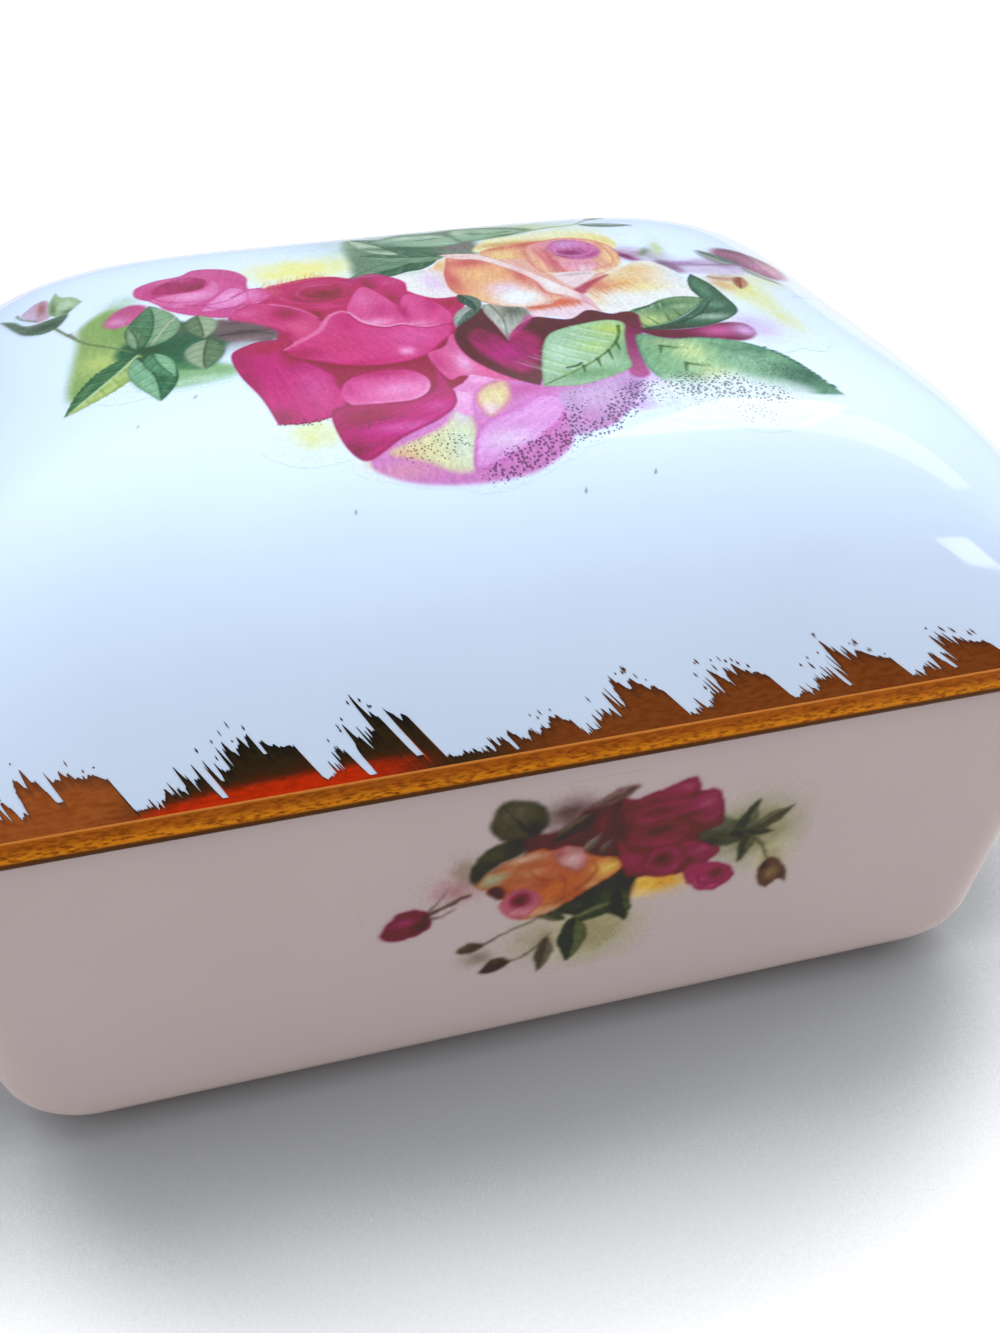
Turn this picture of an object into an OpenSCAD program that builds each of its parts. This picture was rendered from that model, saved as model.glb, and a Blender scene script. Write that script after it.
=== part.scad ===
// Porcelain trinket box: a tapered box body and a lift-off lid with a pillow dome,
// a gilded rim and fired-on rose transfers. The origin is at the middle of the underside.

/* [Box] */
// Width over the lid's rim, along X
box_w = 110; // [100:1:140]
// Depth over the lid's rim, along Y
box_d = 82; // [76:1:110]
// Height of the body, up to the edge the lid rests on
body_h = 39.5; // [34:0.5:50]
// How far the walls lean in from top to bottom, on each side
taper = 5.5; // [2:0.5:7]
// Radius of the upright corners at the lid's rim
corner_r = 8; // [6:0.5:12]
// Radius of the bottom edge of the body
bottom_r = 7.5; // [4:0.5:8]
// Wall thickness of the body
wall = 3.6; // [2.5:0.1:4.5]
// Thickness of the floor above the foot ring's recess
floor_t = 3.4; // [2.5:0.1:5]
// Depth of the recess inside the foot ring
foot_recess = 1; // [0.5:0.1:1.5]
// Width of the foot ring's flat
foot_w = 3; // [2:0.5:4]

/* [Lid] */
// How far the rim stands out over the body
overhang = 1; // [0.5:0.1:1.5]
// Height of the upright gilded rim
rim_h = 2.8; // [2.4:0.1:5]
// Rise of the dome above the rim
dome_h = 22.5; // [15:0.5:28]
// Squareness of the dome: 3 is a round pillow, 6 is nearly flat-topped
dome_power = 5.5; // [3:0.1:6]
// Thickness of the dome
dome_t = 3.4; // [2.5:0.1:4.5]
// How far the locating flange reaches down into the body
flange_h = 4; // [2:0.5:6]
// Thickness of the locating flange
flange_t = 2.4; // [2:0.1:3]
// Gap between the locating flange and the body's wall
flange_gap = 0.6; // [0.4:0.1:0.8]

/* [Decoration] */
// How far a fired-on layer stands above the glaze
layer_out = 0.05; // [0.03:0.01:0.08]
// How deep a fired-on layer is sunk into the glaze
layer_in = 0.15; // [0.1:0.01:0.2]
// How far in over the dome the gilding reaches at its humps
gilt_hump = 1.9; // [1.4:0.1:2.4]
// How far in over the dome the gilding reaches between its humps
gilt_dip = 0.6; // [0.4:0.1:1]
// Number of brushed humps around the rim
gilt_humps = 33; // [22:1:44]
// Width of the rose spray on the lid
lid_spray_w = 82; // [60:1:84]
// Depth of the rose spray on the lid
lid_spray_d = 54; // [24:1:56]
// How far the lid's spray sits in front of the middle of the lid
lid_spray_forward = 4.5; // [0:0.5:6]
// Width of the rose spray on the front
front_spray_w = 42; // [30:1:56]
// Height of the rose spray on the front
front_spray_h = 24; // [12:1:24]
// How far the front's spray sits to the right of the middle
front_spray_right = 5; // [-8:0.5:8]
// How far the front's spray sits above the middle of the flat of the wall
front_spray_up = 1; // [0:0.5:1]

/* [Hidden] */

// Spaces round each upright corner, and along each long and short side
CORNER_STEPS = 6;
LONG_STEPS = 12;
SHORT_STEPS = 9;
// Rings on the dome's outside and inside, and on each rounded edge
DOME_RINGS = 18;
INNER_RINGS = 8;
EDGE_RINGS = 6;
LIP_RINGS = 3;
// Points round each spray, and rings across it
SPRAY_AROUND = 60;
SPRAY_ACROSS = 10;
// Small roundings: the rim's lower edge, the flange's tip, the body's lip and its inner floor
rim_round = 0.5;
flange_round = 0.8;
lip_r = 0.7;
floor_r = 5;
// How sharply the corner correction of the dome fades from the rim inwards
CORNER_FADE = 8;
// Fraction of the dome's rise over which the inside goes straight up
INNER_RISE = 0.35;

half_w = box_w / 2;
half_d = box_d / 2;
rim_top = body_h + rim_h;
lean = atan(taper / body_h);
outer_r = corner_r - overhang;
inner_r = max(outer_r - wall, 1);
flange_r = max(inner_r - flange_gap, 0.8);
front_spray_z = (body_h + bottom_r) / 2 + front_spray_up;

// Points of a rounded rectangle of half sizes hw and hd and corner radius r. Every outline
// of the same detail has the same number of points, so that outlines can be joined.
function arc_points(cx, cy, r, from, n) =
    [for (i = [0:n]) [cx + r * cos(from + 90 * i / n), cy + r * sin(from + 90 * i / n)]];
function side_points(p, q, n) = [for (i = [1:n - 1]) p + (q - p) * i / n];
function outline(hw, hd, r, detail = 1) =
    let (x = hw - r, y = hd - r,
         corner = CORNER_STEPS * detail, long = LONG_STEPS * detail, short = SHORT_STEPS * detail)
    concat(arc_points(x, -y, r, -90, corner), side_points([hw, -y], [hw, y], short),
           arc_points(x, y, r, 0, corner), side_points([x, hd], [-x, hd], long),
           arc_points(-x, y, r, 90, corner), side_points([-hw, y], [-hw, -y], short),
           arc_points(-x, -y, r, 180, corner), side_points([-x, -hd], [x, -hd], long));
// One ring at height z, set in from the lid's rim
function ring(inset, z, r, detail = 1) =
    [for (p = outline(half_w - inset, half_d - inset, r, detail)) [p.x, p.y, z]];

// A closed skin over a list of rings that starts underneath and goes outwards. Both end
// rings are closed by fans, or the last ring joins the first when the rings form a loop.
module skin(rings, loop = false) {
    n = len(rings[0]);
    m = len(rings);
    middle = function(r) [for (k = [0:2]) [for (p = r) p[k]] * [for (p = r) 1] / n];
    sides = [for (j = [0:loop ? m - 1 : m - 2], i = [0:n - 1], half = [0, 1])
        let (a = j * n + i, b = j * n + (i + 1) % n,
             c = ((j + 1) % m) * n + (i + 1) % n, d = ((j + 1) % m) * n + i)
        half == 0 ? [a, c, b] : [a, d, c]];
    ends = loop ? [] : [for (i = [0:n - 1], top = [0, 1])
        let (a = i, b = (i + 1) % n)
        top == 0 ? [m * n, a, b] : [m * n + 1, (m - 1) * n + b, (m - 1) * n + a]];
    centres = loop ? [] : [middle(rings[0]), middle(rings[m - 1])];
    polyhedron(points = concat([for (r = rings, p = r) p], centres),
               faces = concat(sides, ends), convexity = 6);
}

// Rise of a dome of half sizes a and b and height h above its rim
function pillow(x, y, a, b, h) =
    h * (1 - pow(min(abs(x) / a, 1), dome_power)) * (1 - pow(min(abs(y) / b, 1), dome_power));
// A point of the dome: the rim's point p drawn in to the fraction s, and lifted on to the
// pillow. The last term brings the rim's rounded corners down to the rim's height.
function dome_point(p, s, a, b, h) =
    [p.x * s, p.y * s,
     pillow(p.x * s, p.y * s, a, b, h) - pow(s, CORNER_FADE) * pillow(p.x, p.y, a, b, h)];
function dome_ring(inset, r, h, base_z, s) =
    let (a = half_w - inset, b = half_d - inset)
    [for (p = outline(a, b, r)) dome_point(p, s, a, b, h) + [0, 0, base_z]];
// Fractions from rim to crown, closest together at the rim where the dome is steep
function dome_steps(n) = [for (i = [0:n - 1]) cos(90 * i / n)];

// Inset of the body's outer wall at height z: the overhang, the lean and the rounded bottom edge
function body_inset(z) =
    overhang + taper * (1 - z / body_h)
    + (z < bottom_r ? bottom_r - sqrt(bottom_r * bottom_r - pow(bottom_r - z, 2)) : 0);

inner_top = overhang + wall;
inner_z = foot_recess + floor_t;
inner_lean = taper / (body_h - inner_z);

module body_shell() {
    foot_edge = body_inset(0) + foot_w;
    recess = [ring(foot_edge + foot_recess, foot_recess, outer_r), ring(foot_edge, 0, outer_r)];
    outside = [for (i = [0:EDGE_RINGS])
        let (z = bottom_r * (1 - cos(90 * i / EDGE_RINGS))) ring(body_inset(z), z, outer_r)];
    lip = [for (i = [0:LIP_RINGS])
        let (a = 90 * i / LIP_RINGS)
        ring(body_inset(body_h - lip_r) + lip_r * (1 - cos(a)), body_h - lip_r * (1 - sin(a)), outer_r)];
    inner_lip = [for (i = [0:LIP_RINGS])
        let (a = 90 * i / LIP_RINGS)
        ring(inner_top - lip_r * (1 - sin(a)), body_h - lip_r * (1 - cos(a)), inner_r)];
    inner_floor = [for (i = [0:EDGE_RINGS])
        let (a = 90 * i / EDGE_RINGS, z = inner_z + floor_r * (1 - sin(a)))
        ring(inner_top + inner_lean * (body_h - z) + floor_r * (1 - cos(a)), z, inner_r)];
    color("mistyrose")
        skin(concat(recess, outside, lip, inner_lip, inner_floor));
}

module lid_shell() {
    flange_out = inner_top + flange_gap;
    flange_drop = inner_lean * flange_h;
    flange_in = flange_out + flange_drop + flange_t;
    flange_z = body_h - flange_h;
    inner_base = rim_top + dome_h * INNER_RISE;
    inner_h = rim_top + dome_h - dome_t - inner_base;
    dome = [for (s = dome_steps(DOME_RINGS)) dome_ring(0, corner_r, dome_h, rim_top, s)];
    inner_dome = [for (s = dome_steps(INNER_RINGS)) dome_ring(flange_in, flange_r, inner_h, inner_base, s)];
    flange = [ring(flange_in, flange_z + flange_round, flange_r),
              ring(flange_in - flange_round / 2, flange_z, flange_r),
              ring(flange_out + flange_drop + flange_round / 2, flange_z, flange_r),
              ring(flange_out + flange_drop, flange_z + flange_round, flange_r),
              ring(flange_out, body_h, flange_r)];
    rim = [for (i = [0:LIP_RINGS])
        let (a = 90 * i / LIP_RINGS)
        ring(rim_round * (1 - sin(a)), body_h + rim_round * (1 - cos(a)), corner_r)];
    color("aliceblue")
        skin(concat([for (i = [INNER_RINGS - 1:-1:0]) inner_dome[i]], flange, rim, dome));
}

// The gilding goes once round the rim and a little way up the dome, in rounded humps.
module rim_gilding() {
    rim = outline(half_w, half_d, corner_r, 2);
    n = len(rim);
    reach = [for (i = [0:n - 1])
        gilt_dip + (gilt_hump - gilt_dip) * pow(sin(180 * gilt_humps * i / n), 2)];
    up = function(part, out) [for (i = [0:n - 1])
        let (p = dome_point(rim[i], 1 - part * reach[i] / half_d, half_w, half_d, dome_h))
        [p.x * (1 + out / half_w), p.y * (1 + out / half_d), p.z + rim_top + out / 2]];
    color("darkgoldenrod")
        skin([ring(-layer_out, body_h + rim_round, corner_r, 2), ring(-layer_out, rim_top, corner_r, 2),
              up(0.4, layer_out), up(1, layer_out),
              up(1, -layer_in), up(0.4, -layer_in),
              ring(layer_in, rim_top, corner_r, 2), ring(layer_in, body_h + rim_round, corner_r, 2)],
             loop = true);
}

// Lobed outline shared by the two sprays: a wide oval with a few leaf-like lobes
function spray_point(i, w, h) =
    let (a = 360 * i / SPRAY_AROUND, r = 0.91 - 0.09 * cos(6 * a) + 0.05 * sin(10 * a))
    [w / 2 * r * cos(a), h / 2 * r * sin(a)];

module lid_rose_transfer() {
    layer = function(k, dz) [for (i = [0:SPRAY_AROUND - 1])
        let (q = spray_point(i, lid_spray_w, lid_spray_d) * sin(90 * k / SPRAY_ACROSS),
             p = q - [0, lid_spray_forward])
        [p.x, p.y, rim_top + pillow(p.x, p.y, half_w, half_d, dome_h) + dz]];
    color("hotpink")
        skin(concat([for (k = [1:SPRAY_ACROSS]) layer(k, -layer_in)],
                    [for (k = [SPRAY_ACROSS:-1:1]) layer(k, layer_out)]));
}

module front_rose_transfer() {
    color("palevioletred")
        translate([front_spray_right, body_inset(front_spray_z) - half_d, front_spray_z])
            rotate([90 + lean, 0, 0])
                translate([0, 0, -layer_in])
                    linear_extrude(layer_in + layer_out)
                        polygon([for (i = [0:SPRAY_AROUND - 1])
                            spray_point(i, front_spray_w, front_spray_h)]);
}

body_shell();
lid_shell();
rim_gilding();
lid_rose_transfer();
front_rose_transfer();
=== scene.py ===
"""Looks for the porcelain trinket box: glazed body and lid, brushed gilding, and two rose sprays.

Shapes are worked out in millimetres from the frame's own boxes and turned into metres when a mesh
is made. Every piece rides on the box body or on the lid."""
import math

import bpy
import numpy as np
from mathutils import Matrix, Vector


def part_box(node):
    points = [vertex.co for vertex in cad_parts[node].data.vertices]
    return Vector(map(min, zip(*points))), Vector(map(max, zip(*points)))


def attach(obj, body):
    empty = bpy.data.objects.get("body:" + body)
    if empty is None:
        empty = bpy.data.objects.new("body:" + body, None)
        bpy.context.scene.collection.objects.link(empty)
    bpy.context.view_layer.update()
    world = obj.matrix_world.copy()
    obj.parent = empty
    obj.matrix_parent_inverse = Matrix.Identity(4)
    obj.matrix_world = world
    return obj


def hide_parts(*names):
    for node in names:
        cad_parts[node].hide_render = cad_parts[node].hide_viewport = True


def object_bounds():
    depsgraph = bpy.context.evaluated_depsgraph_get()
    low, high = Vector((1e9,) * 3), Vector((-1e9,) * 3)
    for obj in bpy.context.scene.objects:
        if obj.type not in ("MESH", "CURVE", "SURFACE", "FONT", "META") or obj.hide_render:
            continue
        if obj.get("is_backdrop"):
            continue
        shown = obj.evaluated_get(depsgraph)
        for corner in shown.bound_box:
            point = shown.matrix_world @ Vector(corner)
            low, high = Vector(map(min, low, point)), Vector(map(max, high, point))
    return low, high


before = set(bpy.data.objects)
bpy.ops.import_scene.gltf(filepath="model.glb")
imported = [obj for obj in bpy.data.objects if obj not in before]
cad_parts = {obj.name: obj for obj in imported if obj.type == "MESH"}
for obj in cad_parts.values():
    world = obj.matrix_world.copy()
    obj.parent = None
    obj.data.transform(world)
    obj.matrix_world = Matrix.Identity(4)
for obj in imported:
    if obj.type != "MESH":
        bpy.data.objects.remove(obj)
cad_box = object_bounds()

MM = 0.001
lid_low, lid_high = (np.array(corner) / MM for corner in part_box("lid_shell"))
body_high = np.array(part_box("body_shell")[1]) / MM

# Sizes in millimetres, the same as the porcelain's own
HALF_W, HALF_D = lid_high[0], lid_high[1]
BODY_H = body_high[2]
RIM_H = 2.8
RIM_TOP = BODY_H + RIM_H
DOME_H = lid_high[2] - RIM_TOP
DOME_T = 3.4
OVERHANG = 1
TAPER = 5.5
WALL = 3.6
FLOOR_T = 3.4
FOOT_RECESS = 1
FOOT_W = 3
FLANGE_H = BODY_H - lid_low[2]
FLANGE_T = 2.4
FLANGE_GAP = 0.6

# Radii of corners and edges
CORNER_R = 8
OUTER_R = CORNER_R - OVERHANG
INNER_R = OUTER_R - WALL
FLANGE_R = INNER_R - FLANGE_GAP
BOTTOM_R = 7.5
LIP_R = 0.7
FLOOR_R = 5
RIM_ROUND = 0.5
FLANGE_ROUND = 0.8

# The body's inner wall: its inset at the mouth, the floor's height, and how far it leans in per millimetre
INNER_TOP = OVERHANG + WALL
INNER_Z = FOOT_RECESS + FLOOR_T
INNER_LEAN = TAPER / (BODY_H - INNER_Z)

# The dome's height falls with the distance from its middle to this power
DOME_POWER = 5.5
# The corners' own bulge is taken off the dome, less and less towards its middle, by this power
CORNER_FADE = 8
# The lid's hollow starts to curve at this share of the dome's height
INNER_RISE = 0.35

# How far the gold and the printed sprays stand above the glaze
LAYER = 0.035
PRINT_LIFT = 0.01


# ---------------------------------------------------------------- painting
# Each spray of roses is painted petal by petal on a fine flat grid, in millimetres, and the grid
# is then laid on the porcelain. Colours are display colours from 0 to 255 until the very end.

GRAIN_SIZE = 256
GRAIN = np.random.default_rng(7).random((GRAIN_SIZE, GRAIN_SIZE))

# A cloud of colour has faded out at this many of its radii, and a patch of dots at this many
CLOUD_REACH = 1.9
DOTS_REACH = 1.6

# An outline is drawn in this many steps from one of its points to the next
CURVE_STEPS = 7

# A leaf's spine is cut into this many steps; its veins and its rib are this wide
SPINE_STEPS = 24
VEIN_WIDTH = 0.09
RIB_WIDTH = 0.13

# An arc is drawn in this many steps, and this much flatter than a circle
ARC_STEPS = 6
ARC_SQUASH = 0.9

# How much the hairs of a fringe differ in direction
HAIR_SPREAD = 0.35

# Outlines waver over about one millimetre divided by this
WAVER = 1.7


def grain(x, y):
    """Smooth random values from 0 to 1 that change over about one unit of x and y."""
    i, j = np.floor(x).astype(int), np.floor(y).astype(int)
    u, v = x - i, y - j
    u, v = u * u * (3 - 2 * u), v * v * (3 - 2 * v)
    at = lambda a, b: GRAIN[a % GRAIN_SIZE, b % GRAIN_SIZE]
    low = at(i, j) * (1 - u) + at(i + 1, j) * u
    high = at(i, j + 1) * (1 - u) + at(i + 1, j + 1) * u
    return low * (1 - v) + high * v


def smooth_curve(points, closed=True):
    """A smooth curve through the points. A point with a third number, 0, is a sharp corner."""
    ends = np.array([p[:2] for p in points], float)
    ease = np.array([p[2] if len(p) > 2 else 1.0 for p in points])[:, None]
    n = len(ends)
    before, after = np.roll(ends, 1, 0), np.roll(ends, -1, 0)
    if not closed:
        before[0], after[-1] = ends[0], ends[-1]
    slope = (after - before) / 2 * ease
    t = (np.arange(CURVE_STEPS) / CURVE_STEPS)[:, None]
    pieces = []
    for k in range(n if closed else n - 1):
        p, q, a, b = ends[k], ends[(k + 1) % n], slope[k], slope[(k + 1) % n]
        pieces.append((2 * t**3 - 3 * t**2 + 1) * p + (t**3 - 2 * t**2 + t) * a
                      + (3 * t**2 - 2 * t**3) * q + (t**3 - t**2) * b)
    if not closed:
        pieces.append(ends[-1:])
    return np.concatenate(pieces)


def ramp(low, high, value):
    """A soft step from 0 at low to 1 at high."""
    t = np.clip((value - low) / (high - low), 0, 1)
    return t * t * (3 - 2 * t)


def turned(x, y, degrees):
    """Coordinates along and across a direction."""
    c, s = np.cos(np.radians(degrees)), np.sin(np.radians(degrees))
    return x * c + y * s, y * c - x * s


def arc(x, y, r, start, sweep):
    """Points on a slightly flat arc, in degrees anticlockwise from the right."""
    turns = [np.radians(start + sweep * k / ARC_STEPS) for k in range(ARC_STEPS + 1)]
    return [(x + r * np.cos(turn), y + ARC_SQUASH * r * np.sin(turn)) for turn in turns]


class Canvas:
    """A flat grid of colours, with how much paint and how many printed dots lie at each point."""

    def __init__(self, low, high, pitch, ground):
        self.xs = np.arange(low[0], high[0], pitch)
        self.ys = np.arange(low[1], high[1], pitch)
        self.x, self.y = np.meshgrid(self.xs, self.ys)
        self.rgb = np.empty(self.x.shape + (3,))
        self.rgb[:] = ground
        self.paint = np.zeros(self.x.shape)
        self.dots = np.zeros(self.x.shape)

    def window(self, points, margin):
        """The rows and columns that the points and a margin round them take up."""
        low, high = np.min(points, 0)[:2] - margin, np.max(points, 0)[:2] + margin
        i = np.searchsorted(self.xs, [low[0], high[0]])
        j = np.searchsorted(self.ys, [low[1], high[1]])
        return slice(j[0], j[1]), slice(i[0], i[1])

    def lay(self, at, colour, cover):
        """Lays a colour over what is there. cover is how much it hides, from 0 to 1."""
        c = cover[..., None]
        self.rgb[at] = self.rgb[at] * (1 - c) + np.clip(colour, 0, 255) * c
        self.paint[at] = np.maximum(self.paint[at], cover)

    def distances(self, at, curve, closed=True):
        """Distance to the curve, whether a point is inside it, and the place of the nearest point."""
        x, y = self.x[at], self.y[at]
        best = np.full(x.shape, 1e9)
        place = np.zeros(x.shape)
        inside = np.zeros(x.shape, bool)
        n = len(curve) if closed else len(curve) - 1
        for k in range(n):
            (ax, ay), (bx, by) = curve[k], curve[(k + 1) % len(curve)]
            dx, dy = bx - ax, by - ay
            t = np.clip(((x - ax) * dx + (y - ay) * dy) / (dx * dx + dy * dy + 1e-12), 0, 1)
            d = (x - ax - t * dx) ** 2 + (y - ay - t * dy) ** 2
            near = d < best
            best = np.where(near, d, best)
            place = np.where(near, (k + t) / n, place)
            if closed and ay != by:
                crosses = (ay > y) != (by > y)
                inside ^= crosses & (x < ax + dx * (y - ay) / dy)
        return np.sqrt(best), inside, place

    def glow(self, x, y, rx, ry, colour, strength=1.0, turn=0):
        """A soft oval cloud of colour."""
        r = max(rx, ry) * CLOUD_REACH
        at = self.window([(x - r, y - r), (x + r, y + r)], 0)
        u, v = turned(self.x[at] - x, self.y[at] - y, turn)
        d = (u / rx) ** 2 + (v / ry) ** 2
        wisp = 0.75 + 0.5 * grain(self.x[at] * 1.3, self.y[at] * 1.3)
        self.lay(at, np.array(colour, float), np.clip(strength * wisp * np.exp(-d * 1.4) - 0.02, 0, 1))

    def petal(self, points, colour, spots=(), rim=None, line=None, soft=0.13, streak=(90, 0.1), cover=1.0):
        """A filled outline. spots tint it: (x, y, rx, ry, colour, strength). rim lights one side of its
        edge: (colour, width, direction). line draws its edge: (colour, width). streak is the brush's
        direction and strength."""
        curve = smooth_curve(points)
        at = self.window(curve, soft * 2)
        x, y = self.x[at], self.y[at]
        d, inside, _ = self.distances(at, curve)
        d = np.where(inside, d, -d)
        tint = np.empty(x.shape + (3,))
        tint[:] = colour
        for sx, sy, rx, ry, spot, strength in spots:
            w = strength * np.exp(-(((x - sx) / rx) ** 2 + ((y - sy) / ry) ** 2))
            tint += (np.array(spot, float) - tint) * w[..., None]
        if rim:
            middle = curve.mean(0)
            facing = np.cos(np.arctan2(y - middle[1], x - middle[0]) - np.radians(rim[2]))
            w = np.exp(-np.maximum(d, 0) / rim[1]) * np.clip(0.35 + facing, 0, 1)
            tint += (np.array(rim[0], float) - tint) * w[..., None]
        if line:
            w = 0.6 * np.exp(-(d / line[1]) ** 2)
            tint += (np.array(line[0], float) - tint) * w[..., None]
        u, v = turned(x, y, streak[0])
        brush = 0.6 * (grain(u * 0.6, v * 4.5) - 0.5) + 0.4 * (grain(u * 2.5, v * 9) - 0.5)
        stipple = grain(x * 6.5, y * 6.5) - 0.5
        tint *= (1 + streak[1] * brush + 0.1 * stipple)[..., None]
        self.lay(at, tint, ramp(-soft, soft, d) * cover)

    def leaf(self, base, tip, width, dark, light, bend=0.0, lit=1, veins=5, rib=None, teeth=0.0, soft=0.12,
             cover=1.0):
        """A pointed leaf along a bent spine. lit is the lighter side: 1 left of the spine, -1 right."""
        base, tip = np.array(base, float), np.array(tip, float)
        along = tip - base
        across = np.array([-along[1], along[0]])
        knee = (base + tip) / 2 + across * bend
        t = np.linspace(0, 1, SPINE_STEPS + 1)[:, None]
        spine = (1 - t) ** 2 * base + 2 * t * (1 - t) * knee + t**2 * tip
        at = self.window(spine, width + 0.4)
        x, y = self.x[at], self.y[at]
        d, _, place = self.distances(at, spine, closed=False)
        k = np.clip((place * SPINE_STEPS).astype(int), 0, SPINE_STEPS - 1)
        step = spine[k + 1] - spine[k]
        side = np.sign(step[..., 0] * (y - spine[k][..., 1]) - step[..., 1] * (x - spine[k][..., 0]))
        edge = width * np.sin(np.pi * place**0.8) ** 0.85
        edge = edge * (1 - teeth * np.abs((place * 13 + 0.3 * side) % 1 - 0.2))
        inner = edge - d
        over = (d < width * 1.2) & (place > 0.001) & (place < 0.999)
        shade = 0.5 + 0.42 * side * lit
        shade = shade + 0.25 * (place - 0.4)
        shade = np.clip(shade + 0.35 * (grain(place * 9 + width, d * 2.5) - 0.5), 0, 1)
        tint = np.array(dark, float) * (1 - shade[..., None]) + np.array(light, float) * shade[..., None]
        run = (place * veins - d / width * 0.9) % 1
        vein = np.exp(-((run - 0.5) / VEIN_WIDTH) ** 2) * ramp(0.06, 0.3, inner / width)
        tint *= (1 - 0.13 * vein)[..., None]
        tint += (255 - tint) * (0.1 * np.exp(-((run - 0.72) / 0.1) ** 2) * ramp(0, 0.3, inner))[..., None]
        middle = np.exp(-(d / RIB_WIDTH) ** 2) * ramp(1.02, 0.8, place)
        rib_colour = np.array(rib if rib else np.array(dark) * 0.75, float)
        tint += (rib_colour - tint) * (0.8 * middle)[..., None]
        tint *= (1 - 0.22 * np.exp(-np.maximum(inner, 0) / 0.22))[..., None]
        self.lay(at, tint, ramp(-soft, soft, inner) * over * cover)

    def stroke(self, points, widths, colour, cover=0.9, soft=0.1, end_colour=None):
        """A brush line through the points, from one width to the other."""
        curve = smooth_curve(points, closed=False)
        at = self.window(curve, max(widths) + soft)
        d, _, place = self.distances(at, curve, closed=False)
        w = (widths[0] * (1 - place) + widths[1] * place) / 2
        tint = np.array(colour, float) + (np.array(end_colour or colour, float) - colour) * place[..., None]
        brush = grain(self.x[at] * 3, self.y[at] * 3) - 0.5
        self.lay(at, tint * (1 + 0.12 * brush)[..., None], ramp(-soft, soft, w - d) * cover)

    def fringe(self, start, end, reach, count, colour, width=0.16, cover=0.6):
        """A row of fine hairs from start to end, each reaching the same way."""
        pick = np.random.default_rng(int(abs(start[0] * 31 + start[1] * 17)) + count)
        for k in range(count):
            t = (k + pick.random()) / count
            long = 0.5 + 0.7 * pick.random()
            lean = HAIR_SPREAD * (pick.random() - 0.5)
            x = start[0] + (end[0] - start[0]) * t
            y = start[1] + (end[1] - start[1]) * t
            dx, dy = reach[0] * long + lean * reach[1], reach[1] * long - lean * reach[0]
            self.stroke([(x, y), (x + dx / 2, y + dy / 2), (x + dx, y + dy)], (width, 0.03), colour, cover,
                    0.07)

    def speckle(self, x, y, rx, ry, density, turn=0):
        """Asks for printed dots in a soft oval."""
        r = max(rx, ry) * DOTS_REACH
        at = self.window([(x - r, y - r), (x + r, y + r)], 0)
        u, v = turned(self.x[at] - x, self.y[at] - y, turn)
        d = (u / rx) ** 2 + (v / ry) ** 2
        self.dots[at] = np.maximum(self.dots[at], density * ramp(1.7, 0.4, d))
        self.paint[at] = np.maximum(self.paint[at], 0.05 * (d < 1.7))

    def soften(self, wobble, passes):
        """Wavers every outline by up to wobble millimetres, then blurs the picture a little, once a pass."""
        pitch = self.xs[1] - self.xs[0]
        j, i = np.indices(self.x.shape)
        reach = 2 * wobble / pitch
        x, y = self.x * WAVER, self.y * WAVER
        j = j + reach * (grain(x, y) - 0.5)
        i = i + reach * (grain(x + 90, y + 50) - 0.5)
        j = np.clip(np.rint(j).astype(int), 0, self.x.shape[0] - 1)
        i = np.clip(np.rint(i).astype(int), 0, self.x.shape[1] - 1)
        picture = np.dstack([self.rgb, self.paint])[j, i]
        for _ in range(passes):
            for axis in (0, 1):
                picture = picture / 2 + (np.roll(picture, 1, axis) + np.roll(picture, -1, axis)) / 4
        self.rgb, self.paint = picture[..., :3], picture[..., 3]


# ---------------------------------------------------------------- the spray on the lid
# Places are millimetres from the middle of the lid, x to the right and y to the back.

DEEP = (158, 28, 80)
BLUSH = (253, 176, 222)
MAROON = (104, 36, 66)
PLUM = (168, 44, 108)
LILAC = (222, 142, 208)
CREAM = (252, 243, 190)
GREY_LEAF = (128, 120, 116)


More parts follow.
